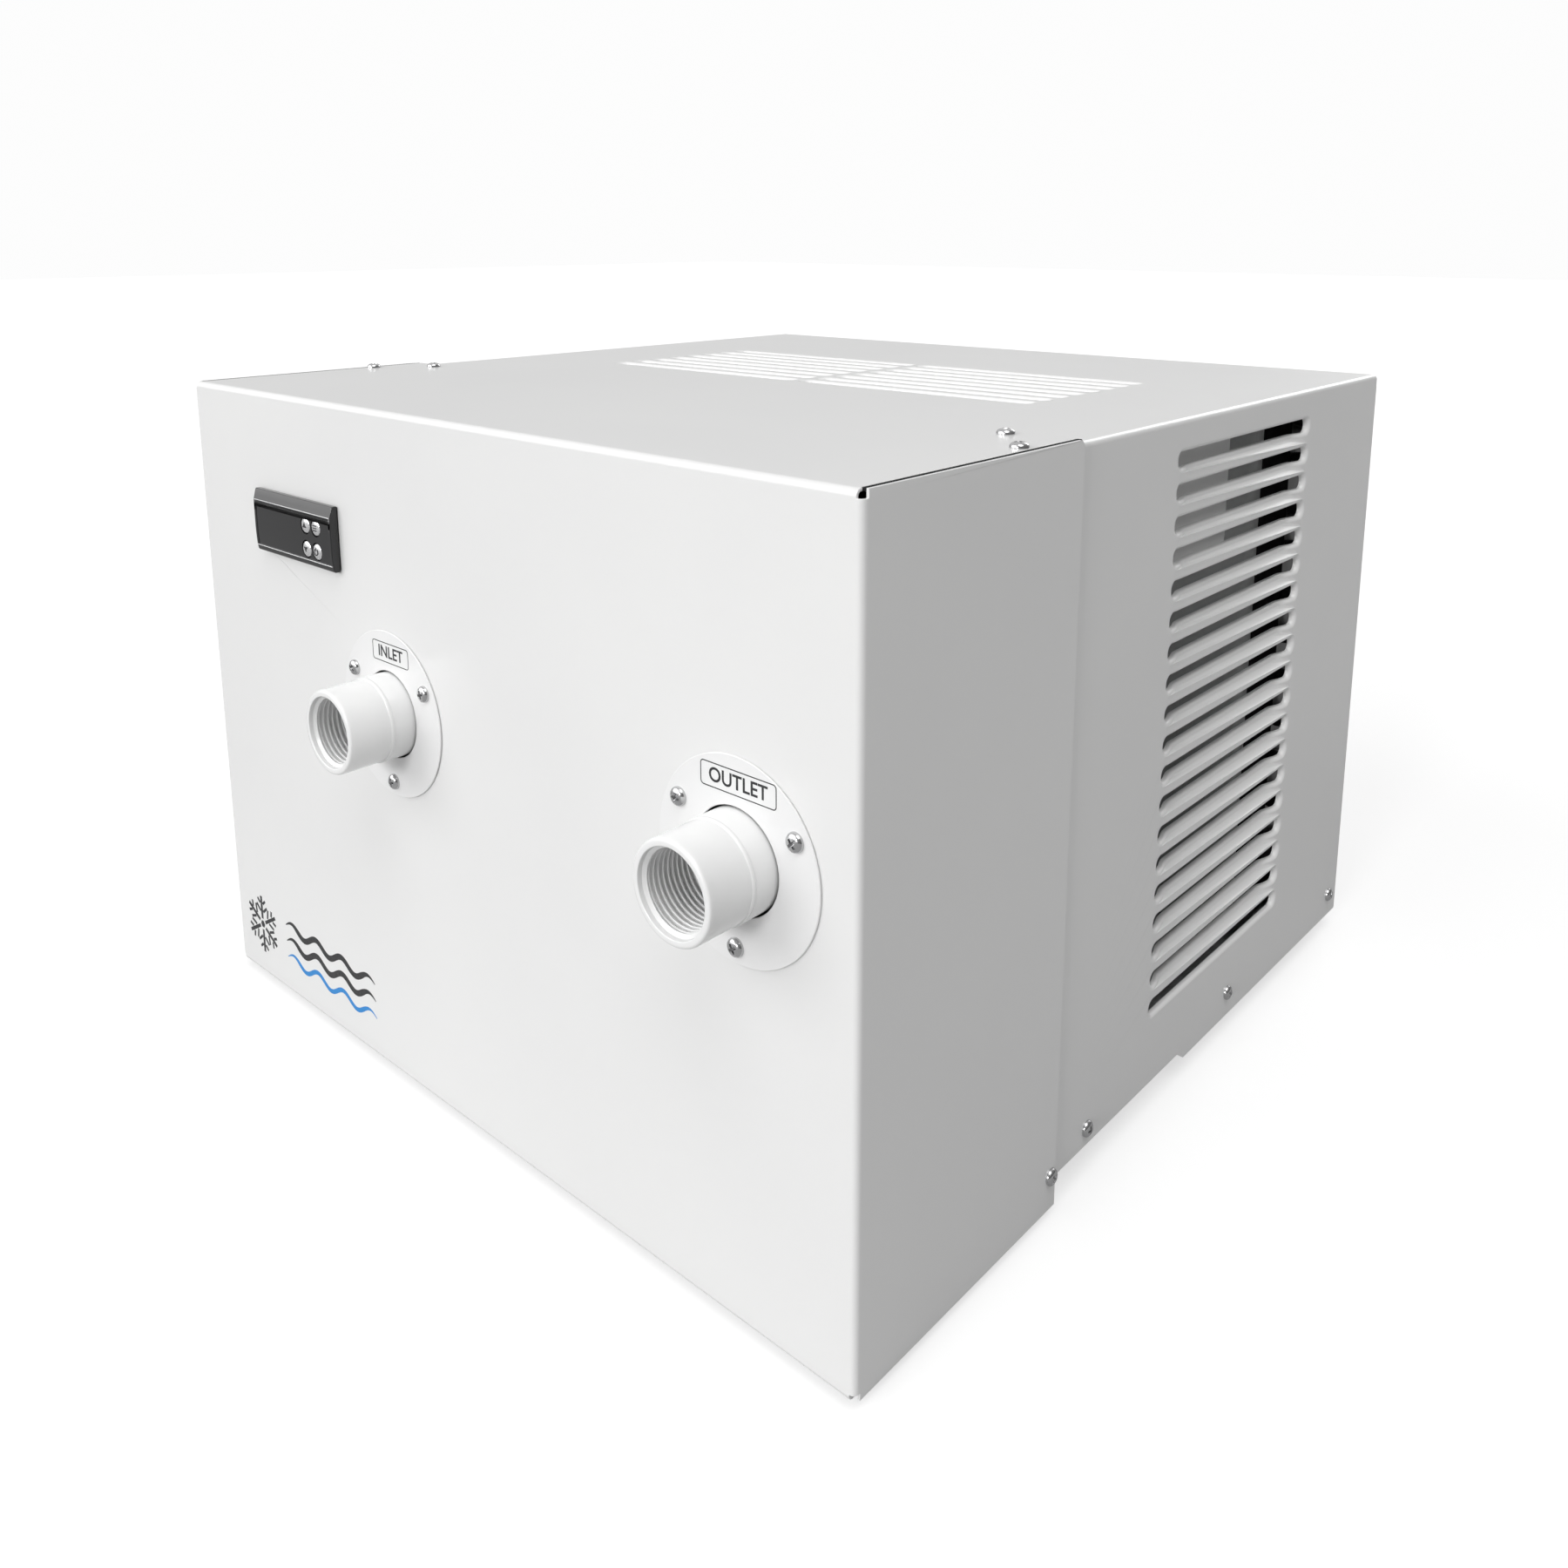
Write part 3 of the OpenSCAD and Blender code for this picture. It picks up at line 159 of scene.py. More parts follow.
# Each finish: colour, roughness, metallic, what varies and other sockets. A texture is a noise's scale,
# detail and stretch, or the scale of cells alone.
FINISHES = {
    "painted_sheet": dict(
        name="powder_coat", color=(0.83, 0.83, 0.825), roughness=0.3, tint=((6, 4), (0.8, 0.8, 0.798)),
        bump=((420, 2), 0.00006, 0.22), Coat_Weight=0.25, Coat_Roughness=0.12),
    "port_plate": dict(
        name="plate_finish", color=(0.84, 0.84, 0.84), roughness=0.34, tint=((30, 3), (0.82, 0.82, 0.82)),
        bump=((900, 2), 0.00003, 0.2), Coat_Weight=0.1, Coat_Roughness=0.2),
    "white_pvc": dict(
        color=(0.84, 0.842, 0.84), roughness=0.24, tint=((40, 3), (0.82, 0.822, 0.82)),
        bump=((250, 2), 0.00005, 0.1)),
    "galvanized": dict(
        color=(0.6, 0.61, 0.62), roughness=0.38, metallic=1.0, tint=((90,), (0.72, 0.73, 0.74)),
        polish=((70,), 0.28, 0.5), bump=((300, 3), 0.00004, 0.2)),
    "shroud_paint": dict(
        color=(0.62, 0.63, 0.63), roughness=0.4, tint=((20, 4), (0.56, 0.57, 0.57)),
        bump=((500, 2), 0.00005, 0.3)),
    "bright_zinc": dict(
        color=(0.56, 0.56, 0.565), roughness=0.16, metallic=1.0, polish=((900, 3), 0.12, 0.26),
        bump=((1500, 2), 0.00002, 0.3)),
    "button_metal": dict(
        color=(0.82, 0.82, 0.83), roughness=0.24, metallic=0.85, polish=((1800, 2), 0.18, 0.32)),
    # On the bead in the cover's top seam and the strips beside the shroud this black is painted shade; on
    # the feet it is the rubber's own colour
    "rubber": dict(
        color=(0.016, 0.016, 0.017), roughness=0.9, tint=((120, 4), (0.024, 0.024, 0.025)),
        bump=((1400, 2), 0.00005, 0.4), Specular_IOR_Level=0.1),
    "titanium": dict(
        color=(0.5, 0.49, 0.47), roughness=0.33, metallic=1.0, tint=((60, 3), (0.56, 0.54, 0.5))),
    "brass": dict(
        color=(0.72, 0.55, 0.26), roughness=0.26, metallic=1.0, tint=((200, 3), (0.6, 0.44, 0.2)),
        polish=((500, 2), 0.2, 0.4)),
    "gloss_black": dict(
        color=(0.012, 0.012, 0.013), roughness=0.07, polish=((90, 3), 0.05, 0.11),
        Specular_IOR_Level=0.6),
    "black_plastic": dict(
        color=(0.025, 0.025, 0.026), roughness=0.42, tint=((60, 3), (0.032, 0.032, 0.033)),
        bump=((2200, 2), 0.00003, 0.5)),
    "circuit_board": dict(color=(0.015, 0.12, 0.05), roughness=0.35, tint=((400,), (0.02, 0.16, 0.07))),
    # On the condenser's tubes and end plates this black is painted shade, standing in for the dark inside
    # seen through the slots
    "black_enamel": dict(
        color=(0.02, 0.02, 0.022), roughness=0.3, tint=((25, 4), (0.032, 0.032, 0.034)),
        bump=((350, 3), 0.0001, 0.3), Coat_Weight=0.3),
    "steel": dict(
        color=(0.52, 0.52, 0.54), roughness=0.3, metallic=1.0, polish=((300, 2, (1, 20, 1)), 0.22, 0.4)),
    "windings": dict(
        color=(0.45, 0.2, 0.09), roughness=0.35, metallic=0.7, tint=((700, 2), (0.3, 0.12, 0.05)),
        bump=((1200, 2), 0.0003, 0.6)),
    "copper": dict(
        color=(0.78, 0.42, 0.27), roughness=0.28, metallic=1.0, tint=((35, 4), (0.5, 0.25, 0.16)),
        polish=((120, 3), 0.2, 0.45)),
    "aluminium": dict(
        color=(0.74, 0.75, 0.76), roughness=0.32, metallic=1.0, tint=((18, 4), (0.64, 0.65, 0.66)),
        polish=((400, 2), 0.26, 0.42)),
    "ink": dict(
        name="black_ink", color=(0.02, 0.02, 0.022), roughness=0.4, polish=((800, 2), 0.34, 0.5)),
    "blue_ink": dict(color=(0.02, 0.24, 0.62), roughness=0.4, polish=((800, 2), 0.34, 0.5)),
    "floor": dict(
        color=(0.46, 0.46, 0.46), roughness=0.8, tint=((2, 3), (0.45, 0.45, 0.45)),
        Emission_Color=(1, 1, 1, 1), Specular_IOR_Level=0.1),
}


def make_materials():
    """Every finish, by the record's slot name."""
    made = {slot: Material(**{"name": slot, **finish}) for slot, finish in FINISHES.items()}
    floor = made["floor"]
    seen = floor.nodes.new("ShaderNodeLightPath").outputs["Is Camera Ray"]
    glow = floor.nodes.new("ShaderNodeMath")
    glow.operation = "MULTIPLY"
    glow.inputs[1].default_value = FLOOR_GLOW
    floor.links.new(seen, glow.inputs[0])
    floor.links.new(glow.outputs["Value"], floor.shader.inputs["Emission Strength"])
    return {slot: material.data for slot, material in made.items()}


MATERIALS = make_materials()


# ---- Mesh helpers ----

def add_piece(name, mesh, material, body="unit", replaces=(), smooth=True):
    """Adds a mesh as a piece that rides on a body, with one material, and hides the CAD parts it stands for.
    """
    obj = bpy.data.objects.new(name, mesh)
    bpy.context.scene.collection.objects.link(obj)
    mesh.materials.clear()
    mesh.materials.append(MATERIALS[material])
    if smooth:
        mesh.polygons.foreach_set("use_smooth", [True] * len(mesh.polygons))
    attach(obj, body)
    if replaces:
        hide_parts(*replaces)
    return obj


def mesh_from(name, verts, faces):
    mesh = bpy.data.meshes.new(name)
    mesh.from_pydata([tuple(v) for v in verts], [], faces)
    mesh.update()
    return mesh


def add_faces(bm, verts, faces):
    made = [bm.verts.new(v) for v in verts]
    for face in faces:
        bm.faces.new([made[i] for i in face])


def to_mesh(name, bm):
    mesh = bpy.data.meshes.new(name)
    bm.to_mesh(mesh)
    bm.free()
    return mesh


def from_bmesh(name, bm):
    bmesh.ops.recalc_face_normals(bm, faces=bm.faces)
    return to_mesh(name, bm)


def soften(obj, width, segments, angle):
    """Rounds the cut edges of a piece and keeps its flats flat."""
    bevel = obj.modifiers.new("edges", "BEVEL")
    bevel.width = width
    bevel.segments = segments
    bevel.limit_method = "ANGLE"
    bevel.angle_limit = math.radians(angle)
    bevel.use_clamp_overlap = True
    bevel.miter_outer = "MITER_ARC"
    flats = obj.modifiers.new("flats", "WEIGHTED_NORMAL")
    flats.keep_sharp = True
    return obj


def thicken(obj, thickness):
    """Gives an outer skin its sheet thickness, inwards."""
    solid = obj.modifiers.new("sheet", "SOLIDIFY")
    solid.thickness = thickness
    solid.offset = -1
    solid.use_even_offset = True
    return obj


def lathe(profile, steps, place=Matrix.Identity(4), closed=False):
    """Revolves (radius, height) points about Z. A closed profile makes a ring."""
    verts = []
    for radius, height in profile:
        for k in range(steps):
            a = 2 * math.pi * k / steps
            verts.append(place @ Vector((radius * math.cos(a), radius * math.sin(a), height)))
    faces = []
    count = len(profile)
    for i in range(count if closed else count - 1):
        for k in range(steps):
            a, b = i * steps, ((i + 1) % count) * steps
            j = (k + 1) % steps
            faces.append((a + k, a + j, b + j, b + k))
    if not closed:
        faces.append(tuple(range(steps - 1, -1, -1)))
        faces.append(tuple((count - 1) * steps + k for k in range(steps)))
    return verts, faces


def facing(point, direction):
    """A placement whose Z looks along a direction, at a point."""
    turn = Vector(direction).to_track_quat("Z", "Y").to_matrix().to_4x4()
    return Matrix.Translation(point) @ turn


def circle(cx, cy, radius, steps):
    return [(cx + radius * math.cos(a), cy + radius * math.sin(a))
            for a in (2 * math.pi * k / steps for k in range(steps))]


def rounded_rect(width, height, radius, steps=6):
    """Points round a rectangle with round corners, anticlockwise."""
    points = []
    corners = ((1, 1, 0), (-1, 1, 90), (-1, -1, 180), (1, -1, 270))
    for sx, sy, start in corners:
        for k in range(steps + 1):
            a = math.radians(start + 90 * k / steps)
            points.append((sx * (width / 2 - radius) + radius * math.cos(a),
                           sy * (height / 2 - radius) + radius * math.sin(a)))
    return points


class Skin:
    """The outer skin of a bent sheet, gathered as flats, bends and drawn slots."""

    def __init__(self):
        self.bm = bmesh.new()

    def vert(self, point):
        return self.bm.verts.new(point)

    def flat(self, to_world, outline, holes=()):
        """A flat face with holes; returns the vertices of each hole."""
        loops = [outline, *holes]
        rings = [[self.vert(to_world(*p)) for p in loop] for loop in loops]
        flat_loops = [[Vector((p[0], p[1], 0)) for p in loop] for loop in loops]
        every = [v for ring in rings for v in ring]
        for tri in tessellate_polygon(flat_loops):
            self.bm.faces.new([every[i] for i in tri])
        return rings[1:]

    def strip(self, rings, closed=False):
        """Quads between rows of points."""
        rows = [[v if isinstance(v, bmesh.types.BMVert) else self.vert(v) for v in ring] for ring in rings]
        count = len(rows[0])
        for a, b in zip(rows, rows[1:]):
            for k in range(count if closed else count - 1):
                j = (k + 1) % count
                self.bm.faces.new((a[k], a[j], b[j], b[k]))
        return rows

    def drawn_slot(self, to_world, ring, center, slot, depth):
        """Turns a slot's edge inwards: a flat border, a round lip, then a straight collar."""
        outer, inner = slot_outline(*slot, 0), slot_outline(*slot, 1)
        lip = [math.dist(p, q) for p, q in zip(outer, inner)]
        rows = [ring]
        for k in range(LIP_STEPS + 1):
            t = math.pi / 2 * k / LIP_STEPS
            rows.append([to_world(center[0] + u, center[1] + v, size * (1 - math.cos(t)))
                         for (u, v), size in zip(slot_outline(*slot, math.sin(t)), lip)])
        rows.append([to_world(center[0] + u, center[1] + v, depth) for u, v in inner])
        self.strip(rows, closed=True)

    def bend(self, a, b, center_a, center_b):
        """A quarter bend between edge a and edge b, whose axis runs through the two centres."""
        rows = []
        for k in range(BEND_STEPS + 1):
            t = math.pi / 2 * k / BEND_STEPS
            rows.append([center + (p - center) * math.cos(t) + (q - center) * math.sin(t)
                         for p, q, center in zip(a, b, (center_a, center_b))])
        self.strip(rows)

    def finish(self, name, outward):
        """Welds the skin and makes its faces look outwards, judged by one of them."""
        bmesh.ops.remove_doubles(self.bm, verts=self.bm.verts, dist=WELD_DISTANCE)
        bmesh.ops.recalc_face_normals(self.bm, faces=self.bm.faces)
        top = max(self.bm.faces, key=lambda f: f.calc_center_median().dot(outward))
        if top.normal.dot(outward) < 0:
            bmesh.ops.reverse_faces(self.bm, faces=self.bm.faces)
        return to_mesh(name, self.bm)


LIP_STEPS = 4
BEND_STEPS = 6
WELD_DISTANCE = 0.00002
# Distances from a slot's end where its long edges have a point, so that they follow the pressed bars
SIDE_POINTS = (3.0, 6.0, 9.0, 12.0, 20.0, 35.0, 50.0)
SLOT_OPENING = 7.4
SLOT_LIP = 1.6
SLOT_END_LIP = 2.9
SLOT_DEPTH = 3.0
SLOT_HEIGHT = SLOT_OPENING + 2 * SLOT_LIP
SLOT_BORDER = -0.2


def slot_outline(length, radius, share):
    """A slot about its middle: share is 0 where its lip starts, 1 where it is open, negative outside."""
    height = SLOT_OPENING + 2 * SLOT_LIP * (1 - share)
    width = length + 2 * SLOT_END_LIP * (1 - share)
    ring = rounded_rect(width, height, radius + SLOT_LIP * (1 - share))
    reach = length / 2 - radius - 1
    inner = [(reach - d) * side for side in (1, -1) for d in SIDE_POINTS]
    upper = [(u, height / 2) for u in sorted(inner, reverse=True)]
    lower = [(u, -height / 2) for u in sorted(inner)]
    quarter = len(ring) // 4
    return ring[:quarter] + upper + ring[quarter:3 * quarter] + lower + ring[3 * quarter:]


# ---- Casing ----

SHEET = 1.2
COVER_HALF = 228.5
COVER_Z0 = 5.0
COVER_Z1 = 340.0
COVER_DEPTH = 136.5
COVER_BEND = 2.6
RELIEF = 3.2
SEAM_GAP = 2.4
FLANGE_CORNER = 3.5
BOTTOM_LIP = 12
PORT_HOLE_R = 28
CASE_HOLE = (35.5, 14.5)
SHEET_ANGLE = 55


def make_front_cover():
    skin = Skin()
    x = COVER_HALF - COVER_BEND
    flange_x = COVER_HALF - SHEET - SEAM_GAP
    low, high = COVER_Z0 + COVER_BEND, COVER_Z1 - COVER_BEND
    holes = []
    for port in PORTS.values():
        holes.append(circle(port.x / MM, port.z / MM, PORT_HOLE_R, 48))
    case_lo, case_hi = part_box("controller_case")
    cx, cz = (case_lo.x + case_hi.x) / 2 / MM, (case_lo.z + case_hi.z) / 2 / MM
    holes.append([(cx + sx * CASE_HOLE[0], cz + sz * CASE_HOLE[1])
                  for sx, sz in ((1, 1), (-1, 1), (-1, -1), (1, -1))])
    r0, r1 = COVER_Z0 + RELIEF, COVER_Z1 - RELIEF
    outline = [(-x, low), (x, low), (x, r0), (x, r1), (x, high), (-x, high), (-x, r1), (-x, r0)]
    skin.flat(lambda u, v: unit(u, 0, v), outline, holes)
    for z, flat_z, depth, half in ((high, COVER_Z1, COVER_DEPTH, flange_x),
                                   (low, COVER_Z0, BOTTOM_LIP, x)):
        ends = (-x, x)
        skin.bend([unit(u, 0, z) for u in ends], [unit(u, COVER_BEND, flat_z) for u in ends],
                  unit(-x, COVER_BEND, z), unit(x, COVER_BEND, z))
        skin.flat(lambda u, v: unit(u, v, flat_z),
                  [(-x, COVER_BEND), (x, COVER_BEND), (x, RELIEF), (half, RELIEF), (half, depth),
                   (-half, depth), (-half, RELIEF), (-x, RELIEF)])
    corner = [(COVER_DEPTH - FLANGE_CORNER * (1 - math.sin(a)),
               COVER_Z1 - FLANGE_CORNER * (1 - math.cos(a)))
              for a in (math.pi / 12 * k for k in range(7))]
    for side in (-1, 1):
        ends = (r0, r1)
        skin.bend([unit(side * x, 0, z) for z in ends],
                  [unit(side * COVER_HALF, COVER_BEND, z) for z in ends],
                  unit(side * x, COVER_BEND, r0), unit(side * x, COVER_BEND, r1))
        skin.flat(lambda u, v: unit(side * COVER_HALF, u, v),
                  [(COVER_BEND, r0), (COVER_BEND, r1), (RELIEF, r1), (RELIEF, COVER_Z1), *corner,
                   (COVER_DEPTH, COVER_Z0), (RELIEF, COVER_Z0), (RELIEF, r0)])
    mesh = skin.finish("front_cover_sheet", Vector((0, -1, 0)))
    obj = add_piece("front_cover_sheet", mesh, "painted_sheet", replaces=["front_cover"])
    thicken(obj, SHEET * MM)
    soften(obj, 0.22 * MM, 2, SHEET_ANGLE)


CABINET_HALF = 227.0
CABINET_Z1 = 338.6
CABINET_Y0 = 94.5
CABINET_Y1 = 466.0
CABINET_BEND = 2.6
REAR_BEND = 2.0
RETURN_FLANGE = 12.0
NOTCH_Y, NOTCH_RUN = 254.5, 7.0
LOW_FRONT, LOW_REAR = 17.0, 12.0
RETURN_TAPER = 9.0
RETURN_CLEARANCE = {"side": 4.0, "top": 3.0}
SLOT_LIP_RISE = SLOT_HEIGHT / 2 - 4.7
SIDE_SLOT_RADIUS = 3.4
SIDE_SLOT = (222.2, 144.4)
SIDE_SLOTS, SIDE_PITCH = 19, 14.63
SIDE_SLOT_TOP = 325.0
TOP_SLOT_LENGTH = 142.0
TOP_SLOT_RADIUS = 3.0
TOP_SLOTS, TOP_PITCH, TOP_FIRST = 8, 15.2, 227.0
TOP_GROUP_GAP = 9.4
BAR_PRESS = 3.0
BAR_BLEND = 12.0


def pressed_in(y, z):
    """How far the bars between the side slots are pressed in: their upper edge most, their ends not."""
    depth = SIDE_SLOT_TOP + SLOT_LIP_RISE - z
    last = (SIDE_SLOTS - 1) * SIDE_PITCH
    if depth < 0 or depth > last + SLOT_HEIGHT / 2:
        return 0.0
    phase = depth % SIDE_PITCH
    bar = SIDE_PITCH - SLOT_HEIGHT
    share = 0.0 if phase < SLOT_HEIGHT / 2 else min(1.0, 1 - (phase - SLOT_HEIGHT) / bar)
    start = SIDE_SLOT[0] + SIDE_SLOT_RADIUS
    from_end = min(y - start, 2 * SIDE_SLOT[0] + SIDE_SLOT[1] - start - y)
    t = min(1.0, max(0.0, from_end / BAR_BLEND))
    return BAR_PRESS * share * t * t * (3 - 2 * t)


def make_cabinet():
    skin = Skin()
    bend_z = CABINET_Z1 - CABINET_BEND
    rear_y = CABINET_Y1 - REAR_BEND
    top_x = CABINET_HALF - CABINET_BEND
    side_outline = [(CABINET_Y0, LOW_FRONT), (NOTCH_Y, LOW_FRONT), (NOTCH_Y + NOTCH_RUN, LOW_REAR),
                    (rear_y, LOW_REAR), (rear_y, bend_z), (CABINET_Y0, bend_z)]
    slot_length = SIDE_SLOT[1]
    first = SIDE_SLOT_TOP + SLOT_LIP_RISE - SLOT_HEIGHT / 2
    centers = [(SIDE_SLOT[0] + slot_length / 2, first - i * SIDE_PITCH) for i in range(SIDE_SLOTS)]
    slot = (slot_length, SIDE_SLOT_RADIUS)
    for side in (-1, 1):
        def to_side(u, v, drop=0.0):
            return unit(side * (CABINET_HALF - drop - pressed_in(u, v)), u, v)
        holes = [[(c[0] + u, c[1] + v) for u, v in slot_outline(*slot, SLOT_BORDER)] for c in centers]
        rings = skin.flat(to_side, side_outline, holes)
        for ring, center in zip(rings, centers):
            skin.drawn_slot(to_side, ring, center, slot, SLOT_DEPTH)
        skin.bend([to_side(y, bend_z) for y in (CABINET_Y0, rear_y)],
                  [unit(side * top_x, y, CABINET_Z1) for y in (CABINET_Y0, rear_y)],
                  unit(side * top_x, CABINET_Y0, bend_z), unit(side * top_x, rear_y, bend_z))
        ends = (LOW_REAR, bend_z - RETURN_CLEARANCE["side"])
        inner_x = CABINET_HALF - REAR_BEND
        skin.bend([to_side(rear_y, z) for z in ends],
                  [unit(side * inner_x, CABINET_Y1, z) for z in ends],
                  unit(side * inner_x, rear_y, ends[0]), unit(side * inner_x, rear_y, ends[1]))
        skin.flat(lambda u, v: unit(side * u, CABINET_Y1, v),
                  [(inner_x, ends[0]), (inner_x, ends[1]),
                   (CABINET_HALF - RETURN_FLANGE, ends[1] - RETURN_TAPER),
                   (CABINET_HALF - RETURN_FLANGE, ends[0])])

    def to_top(u, v, drop=0.0):
        return unit(u, v, CABINET_Z1 - drop)
    centers = [(side * (TOP_SLOT_LENGTH + TOP_GROUP_GAP) / 2, TOP_FIRST + i * TOP_PITCH)
               for side in (-1, 1) for i in range(TOP_SLOTS)]
    slot = (TOP_SLOT_LENGTH, TOP_SLOT_RADIUS)
    holes = [[(c[0] + u, c[1] + v) for u, v in slot_outline(*slot, SLOT_BORDER)] for c in centers]
    outline = [(-top_x, CABINET_Y0), (top_x, CABINET_Y0), (top_x, rear_y), (-top_x, rear_y)]
    rings = skin.flat(to_top, outline, holes)
    for ring, center in zip(rings, centers):
        skin.drawn_slot(to_top, ring, center, slot, SLOT_DEPTH)
    ends = (-top_x + RETURN_CLEARANCE["top"], top_x - RETURN_CLEARANCE["top"])
    inner_z = CABINET_Z1 - REAR_BEND
    skin.bend([to_top(x, rear_y) for x in ends], [unit(x, CABINET_Y1, inner_z) for x in ends],
              unit(ends[0], rear_y, inner_z), unit(ends[1], rear_y, inner_z))
    low_z = CABINET_Z1 - RETURN_FLANGE
    skin.flat(lambda u, v: unit(u, CABINET_Y1, v),
              [(ends[0], inner_z), (ends[1], inner_z), (ends[1] - RETURN_TAPER, low_z),
               (ends[0] + RETURN_TAPER, low_z)])
    mesh = skin.finish("cabinet_sheet", Vector((0, 0, 1)))
    obj = add_piece("cabinet_sheet", mesh, "painted_sheet", replaces=["rear_cabinet"])
    thicken(obj, SHEET * MM)
    soften(obj, 0.2 * MM, 2, SHEET_ANGLE)


# ---- Screws ----

HEAD_HEIGHT = 2.45
HEAD_PROFILE = [(3.82, 0.0), (3.85, 0.3), (3.75, 0.9), (3.4, 1.5), (2.8, 1.95), (2.0, 2.28),
                (1.0, 2.42), (0.02, HEAD_HEIGHT)]
RECESS_ARM = 4.7
RECESS_WIDTH = 1.15
RECESS_DEPTH = 1.7
RECESS_TURN = 18
SHANK_TURNS, SHANK_PITCH = 8, 0.72


def cross_arm(turn):
    """One arm of a cross recess, narrowing downwards."""
    bm = bmesh.new()
    bmesh.ops.create_cube(bm, size=1)
    for v in bm.verts:
        taper, z = (1.0, HEAD_HEIGHT + 0.15) if v.co.z > 0 else (0.4, HEAD_HEIGHT - RECESS_DEPTH)
        v.co = Vector((v.co.x * RECESS_ARM * taper, v.co.y * RECESS_WIDTH * taper, z)) * MM
    bmesh.ops.rotate(bm, verts=bm.verts, matrix=Matrix.Rotation(math.radians(turn), 3, "Z"))
    return to_mesh("arm", bm)


def screw_mesh():
    """A Phillips pan head on the origin looking along Z, with its threaded shank below."""
    verts, faces = lathe([(r * MM, z * MM) for r, z in HEAD_PROFILE], 40)
    head = cut(mesh_from("head", verts, faces), [cross_arm(RECESS_TURN), cross_arm(RECESS_TURN + 90)])
    shank = [(0.3, -7.0), (0.9, -6.2)]
    for i in range(SHANK_TURNS):
        shank += [(1.5, -5.9 + SHANK_PITCH * i), (2.0, -5.55 + SHANK_PITCH * i)]
    shank += [(1.6, -0.1), (1.6, 0.1)]
    verts, faces = lathe([(r * MM, z * MM) for r, z in shank], 20)
    bm = bmesh.new()
    bm.from_mesh(head)
    add_faces(bm, verts, faces)
    return from_bmesh("screw", bm)


def gather(name, mesh, places):
    """One mesh of copies of another, at each placement."""
    bm = bmesh.new()
    for place in places:
        start = len(bm.verts)
        bm.from_mesh(mesh)
        bm.verts.ensure_lookup_table()
        bmesh.ops.transform(bm, matrix=place, verts=bm.verts[start:])
    return to_mesh(name, bm)


TOP_SCREWS = ((220.5, 102), (198, 127.5))
SIDE_SCREWS = ((COVER_HALF, 132.3, 21), (CABINET_HALF, 165, 25.5), (CABINET_HALF, 310.5, 25.5),
               (CABINET_HALF, 452, 25.5))
PLATE_T = 1
PLATE_SCREW_R = 33.3
PLATE_ANGLES = (30, 150, 270)


def add_screws(name, screw, places, node):
    obj = add_piece(name, gather(name, screw, places), "bright_zinc", replaces=[node])
    shade_by_angle(obj, 35)


def make_screws():
    screw = screw_mesh()
    places = []
    for i, side in enumerate((-1, 1)):
        for j, (x, y) in enumerate(TOP_SCREWS):
            turn = Matrix.Rotation(math.radians(37 * i + 61 * j), 4, "Z")
            places.append(facing(unit(side * x, y, COVER_Z1), (0, 0, 1)) @ turn)
        for j, (x, y, z) in enumerate(SIDE_SCREWS):
            turn = Matrix.Rotation(math.radians(53 * j + 20 * i), 4, "Z")
            places.append(facing(unit(side * x, y, z), (side, 0, 0)) @ turn)
    add_screws("panel_screw_set", screw, places, "panel_screws")
    places = []
    for i, port in enumerate(PORTS.values()):
        for j, angle in enumerate(PLATE_ANGLES):
            a = math.radians(angle)
            at = unit(port.x / MM + PLATE_SCREW_R * math.cos(a), -PLATE_T,
                      port.z / MM + PLATE_SCREW_R * math.sin(a))
            turn = Matrix.Rotation(math.radians(41 * j + 23 * i), 4, "Z")
            places.append(facing(at, (0, -1, 0)) @ turn)
    add_screws("port_screw_set", screw, places, "port_plate_screws")


def shade_by_angle(obj, angle):
    """Smooth shading, with edges sharper than the angle kept sharp."""
    bm = bmesh.new()
    bm.from_mesh(obj.data)
    limit = math.radians(angle)
    for edge in bm.edges:
        edge.smooth = len(edge.link_faces) == 2 and edge.calc_face_angle(0) < limit
    for face in bm.faces:
        face.smooth = True
    bm.to_mesh(obj.data)
    bm.free()


# ---- Water ports ----

THREAD_PITCH = 2.309
THREAD_CREST = 15.15
THREAD_ROOT = 16.62
MOUTH_Y = -33.0
THREAD_END_Y = -6.5
HUB_R = 19.6
TAIL_R = 20.0
THREAD_START = 3.4


def thread_radius(phase):
    """Radius of the thread's wall at a phase from 0 to 1: a flat root, a flank, a flat crest, a flank."""
    p = phase % 1.0
    if p < 0.2:
        return THREAD_ROOT
    if p < 0.5:
        return THREAD_ROOT + (THREAD_CREST - THREAD_ROOT) * (p - 0.2) / 0.3
    if p < 0.7:
        return THREAD_CREST
    return THREAD_CREST + (THREAD_ROOT - THREAD_CREST) * (p - 0.7) / 0.3


THREAD_PHASES = (0.0, 0.1, 0.2, 0.35, 0.5, 0.6, 0.7, 0.85)


